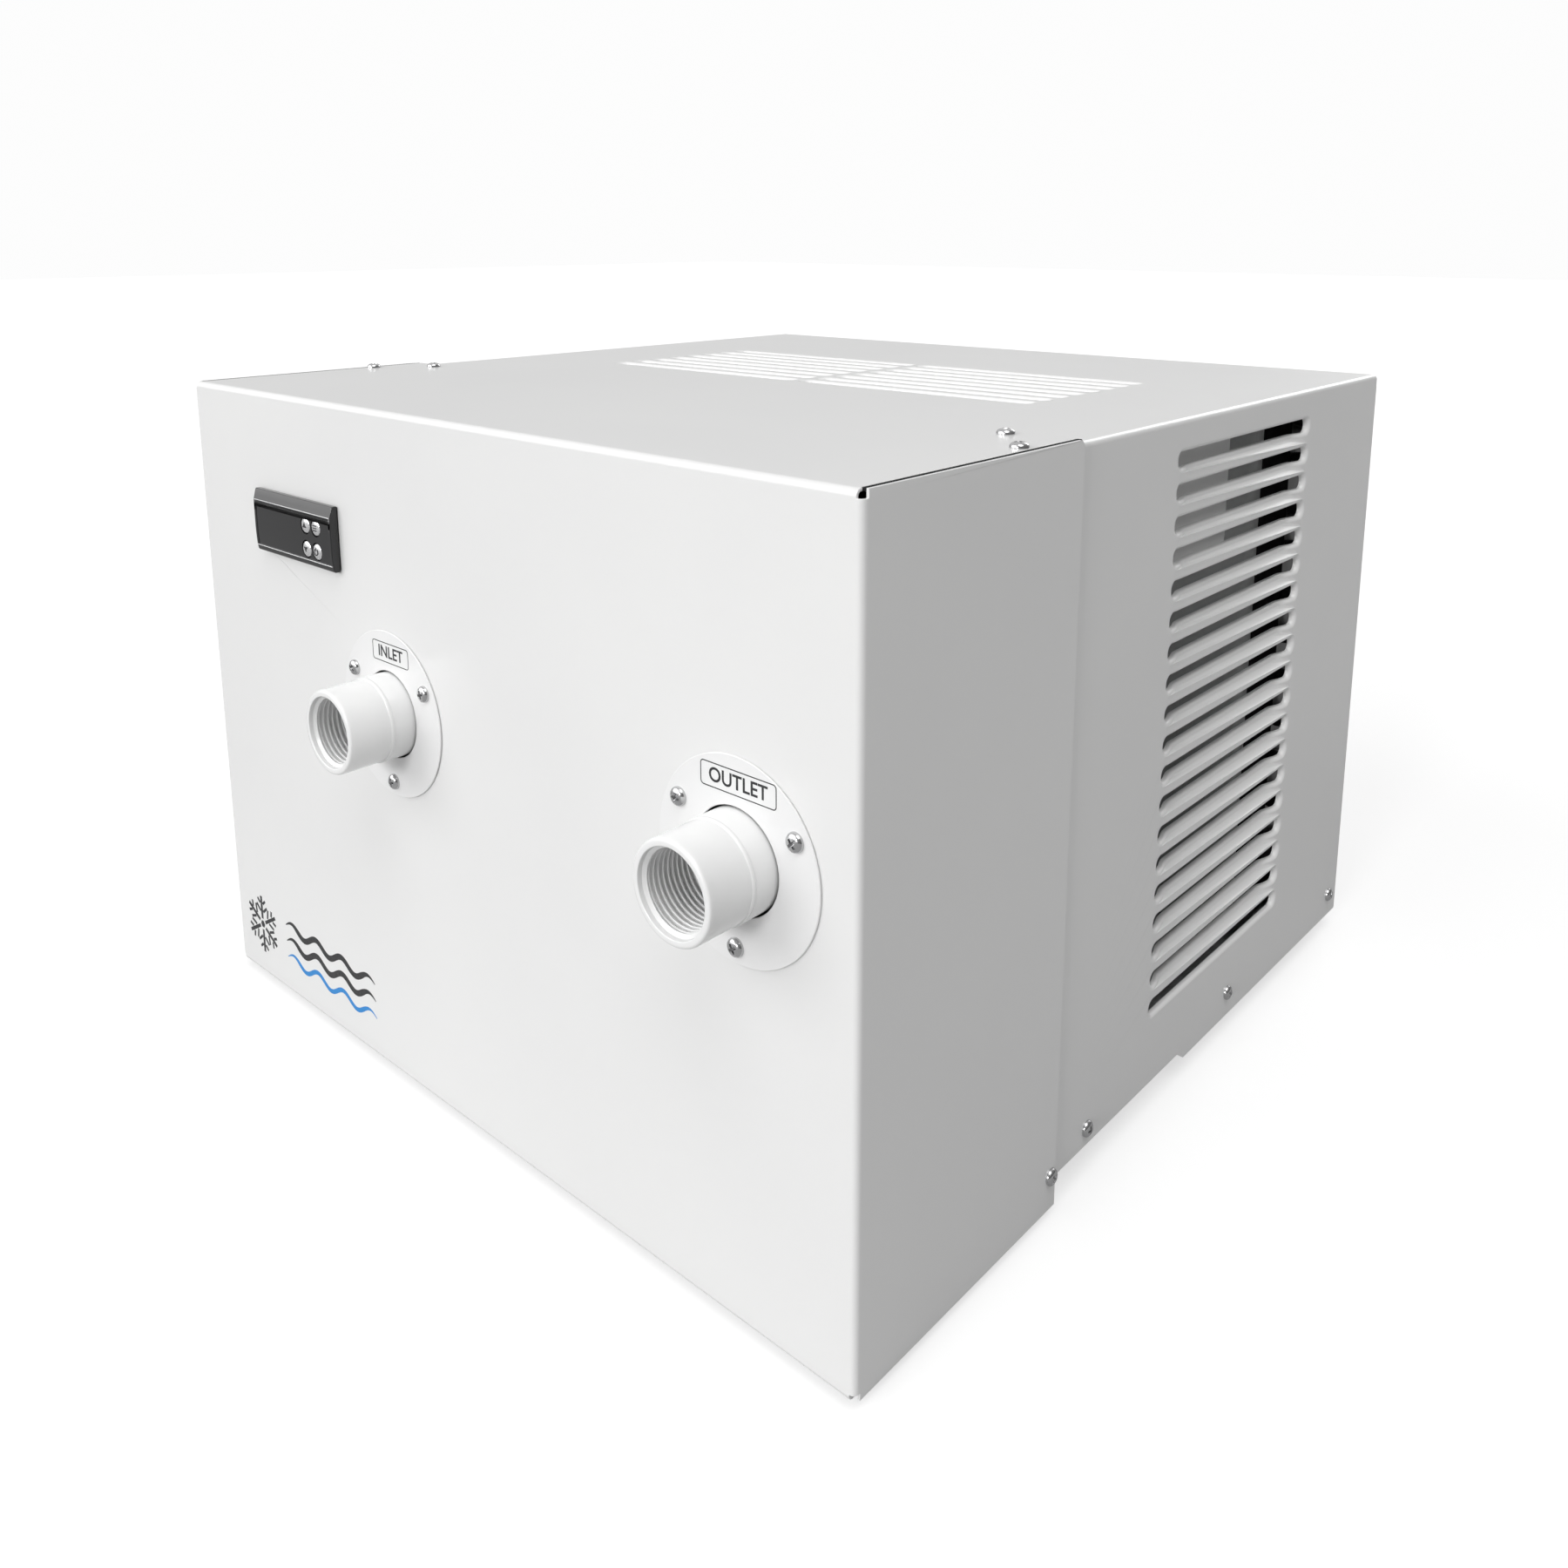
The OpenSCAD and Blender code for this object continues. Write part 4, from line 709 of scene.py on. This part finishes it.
def make_fitting(name, port):
    """A moulded fitting: threaded mouth, hub, ridge ring and tail, its thread a true helix."""
    steps = 144
    cx, cz = port.x / MM, port.z / MM
    angles = [2 * math.pi * k / steps for k in range(steps)]
    outer = [(17.4, MOUTH_Y + 0.02), (18.3, MOUTH_Y), (18.9, MOUTH_Y + 0.12), (19.3, MOUTH_Y + 0.45),
             (19.52, MOUTH_Y + 0.9), (HUB_R, MOUTH_Y + 1.5), (HUB_R, MOUTH_Y + 2.8), (HUB_R, -13.4),
             (HUB_R, -12.9), (HUB_R + 0.3, -12.7), (HUB_R + 0.5, -12.3), (HUB_R + 0.5, -11.8),
             (HUB_R + 0.35, -11.4), (TAIL_R - 0.15, -11.2), (TAIL_R - 0.15, -10.9), (TAIL_R, -10.6),
             (TAIL_R, 2.0), (TAIL_R, 23.2), (TAIL_R - 0.8, 24.0), (16.8, 24.0), (16.8, 8.0), (13.3, 8.0),
             (13.3, THREAD_END_Y + 0.5), (13.6, THREAD_END_Y)]
    rings = [[(radius, y, a) for a in angles] for radius, y in outer]
    turns = int((THREAD_END_Y - MOUTH_Y) / THREAD_PITCH) + 2
    thread = []
    start = MOUTH_Y + THREAD_START
    for i in range(-1, turns):
        for phase in THREAD_PHASES:
            ring = []
            for a in angles:
                y = start + (i + phase - a / (2 * math.pi) + 0.5) * THREAD_PITCH
                y = min(max(y, start), THREAD_END_Y)
                ring.append((thread_radius(phase), y, a))
            thread.append(ring)
    lead = [(THREAD_CREST + 0.1, start - 0.1), (16.55, MOUTH_Y + 2.1), (16.6, MOUTH_Y + 1.9),
            (16.65, MOUTH_Y + 0.4), (16.72, MOUTH_Y + 0.2), (16.9, MOUTH_Y + 0.06)]
    rings += list(reversed(thread))
    rings += [[(radius, y, a) for a in angles] for radius, y in lead]
    verts = []
    for ring in rings:
        for radius, y, a in ring:
            verts.append(unit(cx + radius * math.sin(a), y, cz + radius * math.cos(a)))
    faces = []
    for i in range(len(rings)):
        j = (i + 1) % len(rings)
        for k in range(steps):
            n = (k + 1) % steps
            faces.append((i * steps + k, i * steps + n, j * steps + n, j * steps + k))
    mesh = mesh_from(name + "_moulding", verts, faces)
    weld_flattened(mesh)
    obj = add_piece(name + "_moulding", mesh, "white_pvc", replaces=[name + "_fitting"])
    shade_by_angle(obj, 32)


def weld_flattened(mesh):
    """Welds the rings that the helix has flattened onto its two ends, and drops their empty faces."""
    bm = bmesh.new()
    bm.from_mesh(mesh)
    bmesh.ops.remove_doubles(bm, verts=bm.verts, dist=1e-6)
    bmesh.ops.dissolve_degenerate(bm, edges=bm.edges, dist=1e-6)
    bmesh.ops.recalc_face_normals(bm, faces=bm.faces)
    bm.to_mesh(mesh)
    bm.free()


def make_plate(name, port):
    hole, rim, edge = 20.9, 40, 0.25
    ring = [(hole, 0), (hole, edge - PLATE_T), (hole + edge, -PLATE_T), (rim - edge, -PLATE_T),
            (rim, edge - PLATE_T), (rim, -0.4), (39.4, -0.35), (39.4, 0)]
    place = facing(unit(port.x / MM, 0, port.z / MM), (0, 1, 0))
    verts, faces = lathe([(r * MM, h * MM) for r, h in ring], 128, place, closed=True)
    obj = add_piece(name + "_disc", mesh_from(name + "_disc", verts, faces), "port_plate",
                    replaces=[name + "_plate"])
    shade_by_angle(obj, 30)


# ---- Prints, labels and the controller ----

def prisms(outlines, to_world, low, high):
    """Closed prisms on flat outlines; to_world takes the two flat coordinates and a height."""
    verts, faces = [], []
    for outline in outlines:
        start, count = len(verts), len(outline)
        for height in (low, high):
            verts += [to_world(u, v, height) for u, v in outline]
        for tri in tessellate_polygon([[Vector((u, v, 0)) for u, v in outline]]):
            faces.append([start + i for i in tri])
            faces.append([start + count + i for i in reversed(tri)])
        for k in range(count):
            n = (k + 1) % count
            faces.append((start + k, start + n, start + count + n, start + count + k))
    bm = bmesh.new()
    add_faces(bm, verts, faces)
    return from_bmesh("prisms", bm)


def bar(start, end, width):
    """A straight bar as an outline."""
    along = (Vector(end) - Vector(start)).normalized()
    side = Vector((-along.y, along.x)) * width / 2
    return [tuple(Vector(start) + side), tuple(Vector(start) - side), tuple(Vector(end) - side),
            tuple(Vector(end) + side)]


def wave(z, width):
    """A wavy band with tapering ends, as an outline."""
    (x0, x1), steps = WAVE_ENDS, 64
    upper, lower = [], []
    for k in range(steps + 1):
        t = k / steps
        x = x0 + (x1 - x0) * t
        turn = 2 * math.pi * WAVE_TURNS
        y = z + WAVE_SWING * math.sin(turn * t)
        half = width / 2 * min(1.0, 0.15 + 6 * min(t, 1 - t))
        slope = WAVE_SWING * turn / (x1 - x0) * math.cos(turn * t)
        length = math.hypot(1, slope)
        upper.append((x - slope / length * half, y + half / length))
        lower.append((x + slope / length * half, y - half / length))
    return upper + lower[::-1]


def snowflake(cx, cz, reach):
    """Six arms with two pairs of twigs each, as separate bars."""
    outlines = [circle(cx, cz, FLAKE_MIDDLE, 6)]
    for k in range(6):
        a = math.radians(60 * k + 30)
        ahead, aside = Vector((math.cos(a), math.sin(a))), Vector((-math.sin(a), math.cos(a)))
        middle = Vector((cx, cz))
        outlines.append(bar(middle + ahead * ARM_START, middle + ahead * reach, ARM_WIDTH))
        for share, length in TWIGS:
            for side in (-1, 1):
                root = middle + ahead * reach * share + aside * side * (ARM_WIDTH / 2 + TWIG_GAP)
                tip = root + (ahead + aside * side * TWIG_SLANT).normalized() * length
                outlines.append(bar(root, tip, TWIG_WIDTH))
    return outlines


FLAKE_MIDDLE = 2.2
ARM_START, ARM_WIDTH = 3.4, 2.0
TWIGS = ((0.45, 5.4), (0.74, 3.6))
TWIG_WIDTH, TWIG_GAP, TWIG_SLANT = 1.5, 0.45, 1.2
WAVE_ENDS = (-174, -84)
WAVE_SWING, WAVE_TURNS = 2.6, 3.5
PRINT = 0.06


def on_front(u, v, height):
    return unit(u, -height, v)


def make_pictogram():
    dark = snowflake(-201, 36, 17) + [wave(45.5, 3.4), wave(36.0, 3.4)]
    add_piece("cooling_mark", prisms(dark, on_front, 0.0, PRINT), "ink", smooth=False)
    blue = [wave(26.5, 2.6)]
    add_piece("cooling_wave", prisms(blue, on_front, 0.0, PRINT), "blue_ink", smooth=False)


def text_mesh(words, size):
    """Plain lettering as a thin mesh, centred, in X and Y."""
    curve = bpy.data.curves.new("lettering", "FONT")
    curve.body = words
    curve.size = size
    curve.align_x = "CENTER"
    curve.align_y = "CENTER"
    curve.extrude = PRINT / 2
    curve.offset = STROKE_GROWTH
    curve.resolution_u = 4
    holder = bpy.data.objects.new("lettering", curve)
    bpy.context.scene.collection.objects.link(holder)
    made = bpy.data.meshes.new_from_object(holder.evaluated_get(bpy.context.evaluated_depsgraph_get()))
    bpy.data.objects.remove(holder)
    return made


LABELS = {"inlet": ("INLET", -49, 227.2, 29.6), "outlet": ("OUTLET", 173.9, 227.4, 37.4)}
LABEL_HEIGHT = 9.6
LABEL_RADIUS = 1.6
LABEL_LINE = 0.4
LETTER_SIZE = 7.8
STROKE_GROWTH = 0.11


def make_label(name):
    words, x, z, width = LABELS[name]
    outer = rounded_rect(width, LABEL_HEIGHT, LABEL_RADIUS)
    inner = rounded_rect(width - 2 * LABEL_LINE, LABEL_HEIGHT - 2 * LABEL_LINE,
                         LABEL_RADIUS - LABEL_LINE)
    verts, faces = [], []
    for height in (PLATE_T, PLATE_T + PRINT):
        for ring in (outer, inner):
            verts += [unit(x + u, -height, z + v) for u, v in ring]
    count = len(outer)
    order = (0, 1, 3, 2)
    for a, b in zip(order, order[1:] + order[:1]):
        for k in range(count):
            n = (k + 1) % count
            faces.append((a * count + k, a * count + n, b * count + n, b * count + k))
    frame_mesh = mesh_from(name + "_label_frame", verts, faces)
    add_piece(name + "_label_frame", frame_mesh, "ink", smooth=False)
    letters = text_mesh(words, LETTER_SIZE)
    letters.transform(Matrix.Translation(unit(x, -PLATE_T - PRINT / 2, z))
                      @ Matrix.Rotation(math.pi / 2, 4, "X") @ Matrix.Scale(MM, 4))
    add_piece(name + "_lettering", letters, "ink", smooth=False)


CTL_X, CTL_Z = -126.0, 275.2
BEZEL_SECTION = [(-0.6, 16.0), (-2.6, 16.0), (-3.05, 15.8), (-3.3, 15.3), (-3.95, 12.8), (-4.6, 10.3),
                 (-4.62, 7.0), (-4.62, 3.0), (-4.62, -3.0), (-4.55, -7.0), (-4.4, -10.0), (-4.2, -12.8),
                 (-3.75, -15.2), (-3.4, -15.75), (-2.8, -16.0), (-0.6, -16.0)]
WINDOW_SECTION = [(-2.0, 10.05), (-4.1, 10.05), (-4.28, 7.0), (-4.36, 3.0), (-4.36, -3.0), (-4.28, -7.0),
                  (-4.13, -10.0), (-3.95, -12.65), (-2.0, -12.65)]
BUTTON_PLACES = {"up": (13.2, 4.0), "down": (13.2, -7.7), "set": (22.8, 4.0), "power": (22.8, -7.7)}
BUTTON_R = 3.9
BUTTON_FACE = 4.9
BUTTON_GAP = 0.55
BUTTON_BASE_R = 4.65
# Radius and fall below the face
BUTTON_DOME = ((0.02, 0.0), (0.9, 0.04), (1.8, 0.14), (2.7, 0.32), (3.4, 0.55), (3.75, 0.8),
               (BUTTON_R, 1.15))
BEZEL_HALF, WINDOW_HALF, HIGHLIGHT_LINE_HALF = 37, 34.85, 36.2
OPENING = ((-35, -12.8), (35, -12.8), (35, 10.2), (-35, 10.2))
# Height, width and face of the two bright lines beside the window: bright metal strips that are painted
# highlights along its edges
HIGHLIGHT_LINES = {"upper": (10.5, 0.45, 4.72), "lower": (-12.95, 0.36, 4.52)}
HIGHLIGHT_LINE_BACK = 3.6
EDGE_ANGLE = 45


def on_controller(u, v, height):
    return unit(CTL_X + u, -height, CTL_Z + v)


def extruded(section, half):
    """A closed bar along X with a section given as (Y, Z) about the controller's middle."""
    verts = [unit(CTL_X + x, y, CTL_Z + z) for x in (-half, half) for y, z in section]
    count = len(section)
    faces = [tuple(range(count)), tuple(range(2 * count - 1, count - 1, -1))]
    for k in range(count):
        n = (k + 1) % count
        faces.append((k, n, count + n, count + k))
    bm = bmesh.new()
    add_faces(bm, verts, faces)
    return from_bmesh("extruded", bm)


def cut(mesh, cutters):
    """The mesh with other meshes taken out of it."""
    target = bpy.data.objects.new("target", mesh)
    tools = [bpy.data.objects.new("tool", cutter) for cutter in cutters]
    for obj in (target, *tools):
        bpy.context.scene.collection.objects.link(obj)
    for tool in tools:
        boolean = target.modifiers.new("cut", "BOOLEAN")
        boolean.operation = "DIFFERENCE"
        boolean.object = tool
        boolean.solver = "EXACT"
    shaped = bpy.data.meshes.new_from_object(target.evaluated_get(bpy.context.evaluated_depsgraph_get()))
    for obj in (target, *tools):
        bpy.data.objects.remove(obj)
    return shaped


def make_controller():
    bezel = cut(extruded(BEZEL_SECTION, BEZEL_HALF), [prisms([OPENING], on_controller, -2, 10)])
    bezel_frame = add_piece("bezel_frame", bezel, "gloss_black", replaces=["controller_bezel"])
    soften(bezel_frame, 0.35 * MM, 3, EDGE_ANGLE)
    holes = [prisms([circle(x, z, BUTTON_R + BUTTON_GAP, 40)], on_controller, 0, 10)
             for x, z in BUTTON_PLACES.values()]
    window = cut(extruded(WINDOW_SECTION, WINDOW_HALF), holes)
    window_panel = add_piece("window_panel", window, "gloss_black", replaces=["display_window"])
    soften(window_panel, 0.15 * MM, 2, EDGE_ANGLE)
    # Bright metal strips along the window's upper and lower edges: painted highlights
    for name, (z, width, face) in HIGHLIGHT_LINES.items():
        outline = [(sx * HIGHLIGHT_LINE_HALF, z + sz * width / 2) for sx, sz in ((-1, -1), (1, -1), (1, 1), (-1, 1))]
        line = prisms([outline], on_controller, HIGHLIGHT_LINE_BACK, face)
        soften(add_piece(name + "_highlight_line", line, "button_metal"), 0.12 * MM, 2, EDGE_ANGLE)
    dome = [(r, BUTTON_FACE - fall) for r, fall in BUTTON_DOME]
    dome += [(BUTTON_R, 1.3), (BUTTON_BASE_R, 1.3), (BUTTON_BASE_R, 0.4)]
    for name, (x, z) in BUTTON_PLACES.items():
        place = facing(unit(CTL_X + x, 0, CTL_Z + z), (0, -1, 0))
        verts, faces = lathe([(r * MM, h * MM) for r, h in reversed(dome)], 48, place)
        obj = add_piece(name + "_cap", mesh_from(name + "_cap", verts, faces), "button_metal",
                        name + "_key", replaces=["button_" + name])
        shade_by_angle(obj, 40)
        sign = prisms(button_sign(name, x, z), on_controller, BUTTON_FACE - 0.6, BUTTON_FACE + 0.04)
        add_piece(name + "_sign", sign, "ink", name + "_key", smooth=False)


def button_sign(name, x, z):
    """The outlines of a key's sign."""
    half, line = 1.6, 0.55
    if name in ("up", "down"):
        tip = 1.5 if name == "up" else -1.5
        return [[(x - half, z - tip * 0.7), (x + half, z - tip * 0.7), (x, z + tip)]]
    if name == "set":
        return [bar((x - half, z + dz), (x + half, z + dz), line) for dz in (1.2, 0, -1.2)]
    outline = []
    for radius, order in ((1.9, 1), (1.3, -1)):
        outline += [(x + radius * math.sin(a), z + radius * math.cos(a))
                    for a in (math.radians(40 + 280 * k / 20) for k in range(21)[::order])]
    return [outline, bar((x, z + 0.3), (x, z + 2.0), line)]


# ---- Fan and condenser ----

FAN_Z = 176.0
FAN_Y = 384.0
FAN_R = 131.8
FAN_HUB_R = 27.0
BLADES = 5
BLADE_CHORD = (46, 44)
BLADE_PITCH = (38, 14)
BLADE_CAMBER = 0.07
BLADE_HALF_T = 1.15
BLADE_SWEEP = 0.1
TIP_START = 0.86


def make_fan():
    bm = bmesh.new()
    rows, columns = 14, 12
    for blade in range(BLADES):
        turn = 2 * math.pi * blade / BLADES
        for side in (-1, 1):
            grid = [[bm.verts.new(blade_point(i / rows, j / columns - 0.5, side, turn))
                     for j in range(columns + 1)] for i in range(rows + 1)]
            for i in range(rows):
                for j in range(columns):
                    bm.faces.new((grid[i][j], grid[i][j + 1], grid[i + 1][j + 1], grid[i + 1][j]))
    bmesh.ops.remove_doubles(bm, verts=bm.verts, dist=1e-6)
    hub = [(7.0, -11.5), (24.5, -12.0), (26.3, -11.4), (FAN_HUB_R, -10.0), (FAN_HUB_R, 9.5), (25.8, 11.4),
           (22.0, 12.0), (20.5, 11.6), (19.5, 9.0), (12.0, 8.6), (11.0, 11.8), (6.1, 12.0), (6.1, -11.5)]
    place = facing(unit(0, FAN_Y, FAN_Z), (0, 1, 0))
    verts, faces = lathe([(r * MM, h * MM) for r, h in hub], 72, place, closed=True)
    add_faces(bm, verts, faces)
    obj = add_piece("fan_wheel", from_bmesh("fan_wheel", bm), "black_plastic", "fan", replaces=["fan_blade"])
    shade_by_angle(obj, 40)


def blade_point(t, s, side, turn):
    """A point on a blade: t from root to tip, s across the chord, side is the face."""
    radius = FAN_HUB_R - 2 + (FAN_R - FAN_HUB_R + 2) * t
    chord = BLADE_CHORD[0] + BLADE_CHORD[1] * math.sin(t * math.pi * 0.58)
    if t > TIP_START:
        chord *= math.sqrt(max(0.0, 1 - ((t - TIP_START) / 0.16) ** 2 * 0.55))
    pitch = math.radians(BLADE_PITCH[0] - BLADE_PITCH[1] * t)
    camber = BLADE_CAMBER * chord * (1 - 4 * s * s)
    thick = BLADE_HALF_T * math.sqrt(max(0.0, 1 - (2 * s) ** 4)) * (1 if t < 1 else 0)
    off = camber + side * thick
    across = chord * (s - BLADE_SWEEP * t)
    along_axis = across * math.sin(pitch) - off * math.cos(pitch)
    sideways = across * math.cos(pitch) + off * math.sin(pitch)
    lean = sideways / radius
    r = min(radius, FAN_R)
    a = turn + lean
    return unit(r * math.cos(a), FAN_Y - along_axis, FAN_Z + r * math.sin(a))


CORE_HALF = 196.0
CORE_Y = (418.0, 456.0)
CORE_Z = (21.0, 333.0)
FIN_PITCH = 2.1
FIN_THICKNESS = 0.16
FIN_MARGIN = 0.5
FIN_SWAY = 0.22


def make_fins():
    verts, faces = [], []
    count = int(2 * (CORE_HALF - FIN_MARGIN) / FIN_PITCH) + 1
    rows = 12
    for i in range(count):
        x = -CORE_HALF + FIN_MARGIN + i * FIN_PITCH
        start = len(verts)
        for k in range(rows + 1):
            z = CORE_Z[0] + (CORE_Z[1] - CORE_Z[0]) * k / rows
            for j, y in enumerate((CORE_Y[0], sum(CORE_Y) / 2, CORE_Y[1])):
                sway = FIN_SWAY * math.sin(1.7 * i + 2.3 * k) * math.cos(0.9 * k - 0.35 * i) * (j != 1)
                for side in (-1, 1):
                    verts.append(unit(x + sway + side * FIN_THICKNESS / 2, y, z))
        for k in range(rows):
            a, b = start + k * 6, start + (k + 1) * 6
            for j in (0, 2):
                faces.append((a + j, a + j + 2, b + j + 2, b + j))
                faces.append((a + j + 1, b + j + 1, b + j + 3, a + j + 3))
            faces.append((a, b, b + 1, a + 1))
            faces.append((a + 4, a + 5, b + 5, b + 4))
        for a, flip in ((start, False), (start + rows * 6, True)):
            for j in (0, 2):
                quad = (a + j, a + j + 1, a + j + 3, a + j + 2)
                faces.append(quad[::-1] if flip else quad)
    add_piece("fin_stack", mesh_from("fin_stack", verts, faces), "aluminium", replaces=["condenser_fins"],
              smooth=False)


SHROUD_HALF = 197.0
SHROUD_Y = (376.0, 417.0)
SHROUD_Z = (20.0, 332.0)
SHROUD_T = 2.0
SHROUD_BEND = 4.0
SHROUD_CORNER = 2.0
THROAT_R = 139.0
THROAT_BEND = 7
THROAT_EDGE = ((0.0, 366.5), (0.6, 365.0))


def make_shroud():
    skin = Skin()
    mid = (SHROUD_Z[0] + SHROUD_Z[1]) / 2
    collar_r = THROAT_R + SHROUD_T
    bend_steps = [math.pi / 2 * k / BEND_STEPS for k in range(1, BEND_STEPS + 1)]

    def border(inset):
        points = rounded_rect(2 * (SHROUD_HALF - inset), SHROUD_Z[1] - SHROUD_Z[0] - 2 * inset,
                              SHROUD_CORNER + SHROUD_BEND - inset, 3)
        return [(u, v + mid) for u, v in points]

    def ring(radius, y):
        return [unit(u, y, v) for u, v in circle(0, FAN_Z, radius, 96)]
    outline, outer = border(SHROUD_BEND), border(0)
    hole = circle(0, FAN_Z, collar_r + THROAT_BEND, 96)
    rows = skin.flat(lambda u, v: unit(u, SHROUD_Y[0], v), outline, [hole])
    rows += [ring(collar_r + THROAT_BEND * (1 - math.sin(t)), SHROUD_Y[0] - THROAT_BEND * (1 - math.cos(t)))
             for t in bend_steps]
    rows += [ring(collar_r + flare, y) for flare, y in THROAT_EDGE]
    skin.strip(rows, closed=True)
    walls = [[unit(u, SHROUD_Y[0], v) for u, v in outline]]
    for t in bend_steps:
        y = SHROUD_Y[0] + SHROUD_BEND * (1 - math.cos(t))
        walls.append([unit(a[0] + (b[0] - a[0]) * math.sin(t), y, a[1] + (b[1] - a[1]) * math.sin(t))
                      for a, b in zip(outline, outer)])
    walls.append([unit(u, SHROUD_Y[1], v) for u, v in outer])
    skin.strip(walls, closed=True)
    mesh = skin.finish("shroud_pressing", Vector((0, -1, 0)))
    obj = add_piece("shroud_pressing", mesh, "shroud_paint", replaces=["fan_shroud"])
    thicken(obj, SHROUD_T * MM)
    soften(obj, 0.25 * MM, 2, SHEET_ANGLE)


# Black strips on the shroud's side walls: painted shade inside the casing, seen through the side slots
SHADE_STRIP = ((197.1, 199.4), (379.0, 416.0), (24.0, 328.0))


def make_shade_strips():
    """Foam strips between the shroud's side walls and the casing; their black is painted shade for the dark
    inside seen through the side slots.
    """
    (x0, x1), (y0, y1), (z0, z1) = SHADE_STRIP
    outline = [(u + (y0 + y1) / 2, v + (z0 + z1) / 2) for u, v in rounded_rect(y1 - y0, z1 - z0, 3.0)]
    for name, side in (("right", 1), ("left", -1)):
        strip = prisms([outline], lambda u, v, h: unit(side * h, u, v), x0, x1)
        soften(add_piece(name + "_shade_strip", strip, "rubber"), 0.5 * MM, 2, 50)


# ---- Floor and light ----

FLOOR_SIZE = 12


def make_stage():
    bm = bmesh.new()
    bmesh.ops.create_grid(bm, x_segments=1, y_segments=1, size=FLOOR_SIZE)
    mesh = to_mesh("floor", bm)
    floor = bpy.data.objects.new("floor", mesh)
    bpy.context.scene.collection.objects.link(floor)
    mesh.materials.append(MATERIALS["floor"])


WORLD_LIGHT = 0.19
WORLD_SEEN = 0.98
MIRRORED = 0.78
MIRRORED_LOW = 0.45
MIRRORED_RIGHT = 0.3
HEIGHT_EDGES = (0.05, 0.4)
SIDE_EDGES = (-0.2, 0.6)
CARD_TOWARD = (-0.72, -0.6, 0.35)
CARD_GLOW = 1.6
CARD_EDGES = (0.9, 0.95)
# Where each light comes from, its strength and its width in degrees
LIGHTS = {"key": ((-0.4, -0.775, 0.49), 1.36, 45), "top": ((0.34, -0.2, 0.92), 1.4, 40),
          "rim": ((-0.09, 0.91, 0.4), 0.4, 25), "front": ((0.12, -0.95, 0.28), 1.0, 12)}


def sun_light(name, toward, strength, angle):
    """A distant light as wide as a softbox, shining from a direction."""
    data = bpy.data.lights.new(name, "SUN")
    data.energy = strength
    data.angle = math.radians(angle)
    light = bpy.data.objects.new(name, data)
    light.rotation_mode = "QUATERNION"
    light.rotation_quaternion = Vector(toward).to_track_quat("Z", "Y")
    bpy.context.scene.collection.objects.link(light)


def ramp_toward(tree, direction, edges, levels):
    """A value that goes between two levels as a ray's direction nears another one."""
    place = tree.nodes.new("ShaderNodeTexCoord").outputs["Generated"]
    nearness = tree.nodes.new("ShaderNodeVectorMath")
    nearness.operation = "DOT_PRODUCT"
    nearness.inputs[1].default_value = Vector(direction).normalized()
    tree.links.new(place, nearness.inputs[0])
    ramp = tree.nodes.new("ShaderNodeMapRange")
    ramp.interpolation_type = "SMOOTHSTEP"
    ramp.inputs["From Min"].default_value, ramp.inputs["From Max"].default_value = edges
    ramp.inputs["To Min"].default_value, ramp.inputs["To Max"].default_value = levels
    tree.links.new(nearness.outputs["Value"], ramp.inputs["Value"])
    return ramp.outputs["Result"]


def by_ray(tree, ray, level, other):
    """One strength for a kind of ray and another for the rest."""
    choice = tree.nodes.new("ShaderNodeMix")
    tree.links.new(tree.nodes.new("ShaderNodeLightPath").outputs[ray], choice.inputs["Factor"])
    for socket, value in (("A", other), ("B", level)):
        if isinstance(value, float):
            choice.inputs[socket].default_value = value
        else:
            tree.links.new(value, choice.inputs[socket])
    return choice.outputs["Result"]


def make_lights():
    world = bpy.data.worlds.new("studio")
    world.use_nodes = True
    tree = world.node_tree
    background = tree.nodes["Background"]
    background.inputs["Color"].default_value = (1, 1, 1, 1)
    by_height = ramp_toward(tree, (0, 0, 1), HEIGHT_EDGES, (MIRRORED_LOW, MIRRORED))
    by_side = ramp_toward(tree, (1, 0, 0), SIDE_EDGES, (1.0, MIRRORED_RIGHT))
    card = ramp_toward(tree, CARD_TOWARD, CARD_EDGES, (0.0, CARD_GLOW))
    mirrored = tree.nodes.new("ShaderNodeMath")
    mirrored.operation = "MULTIPLY_ADD"
    for value, socket in zip((by_height, by_side, card), mirrored.inputs):
        tree.links.new(value, socket)
    strength = by_ray(tree, "Is Glossy Ray", mirrored.outputs["Value"], WORLD_LIGHT)
    strength = by_ray(tree, "Is Camera Ray", WORLD_SEEN, strength)
    tree.links.new(strength, background.inputs["Strength"])
    bpy.context.scene.world = world
    for name, light in LIGHTS.items():
        sun_light(name, *light)
    bpy.context.scene.view_settings.view_transform = "Standard"


# ---- CAD nodes that keep their shape ----

def finish_cad_nodes():
    slots = {part["node"]: part["material_slot"] for part in frame["record"]["subparts"]}
    for name, obj in frame["nodes"].items():
        obj.data.materials.clear()
        obj.data.materials.append(MATERIALS[slots[name]])
        if not obj.hide_render:
            obj.data.polygons.foreach_set("use_smooth", [True] * len(obj.data.polygons))
            weld = obj.modifiers.new("weld", "WELD")
            weld.merge_threshold = 0.00001
            soften(obj, 0.2 * MM, 1, 50)


make_camera()
make_lights()
make_stage()
make_front_cover()
make_cabinet()
make_screws()
for port_name, port_at in PORTS.items():
    make_fitting(port_name, port_at)
    make_plate(port_name, port_at)
    make_label(port_name)
make_pictogram()
make_controller()
make_fan()
make_fins()
make_shroud()
make_shade_strips()
finish_cad_nodes()
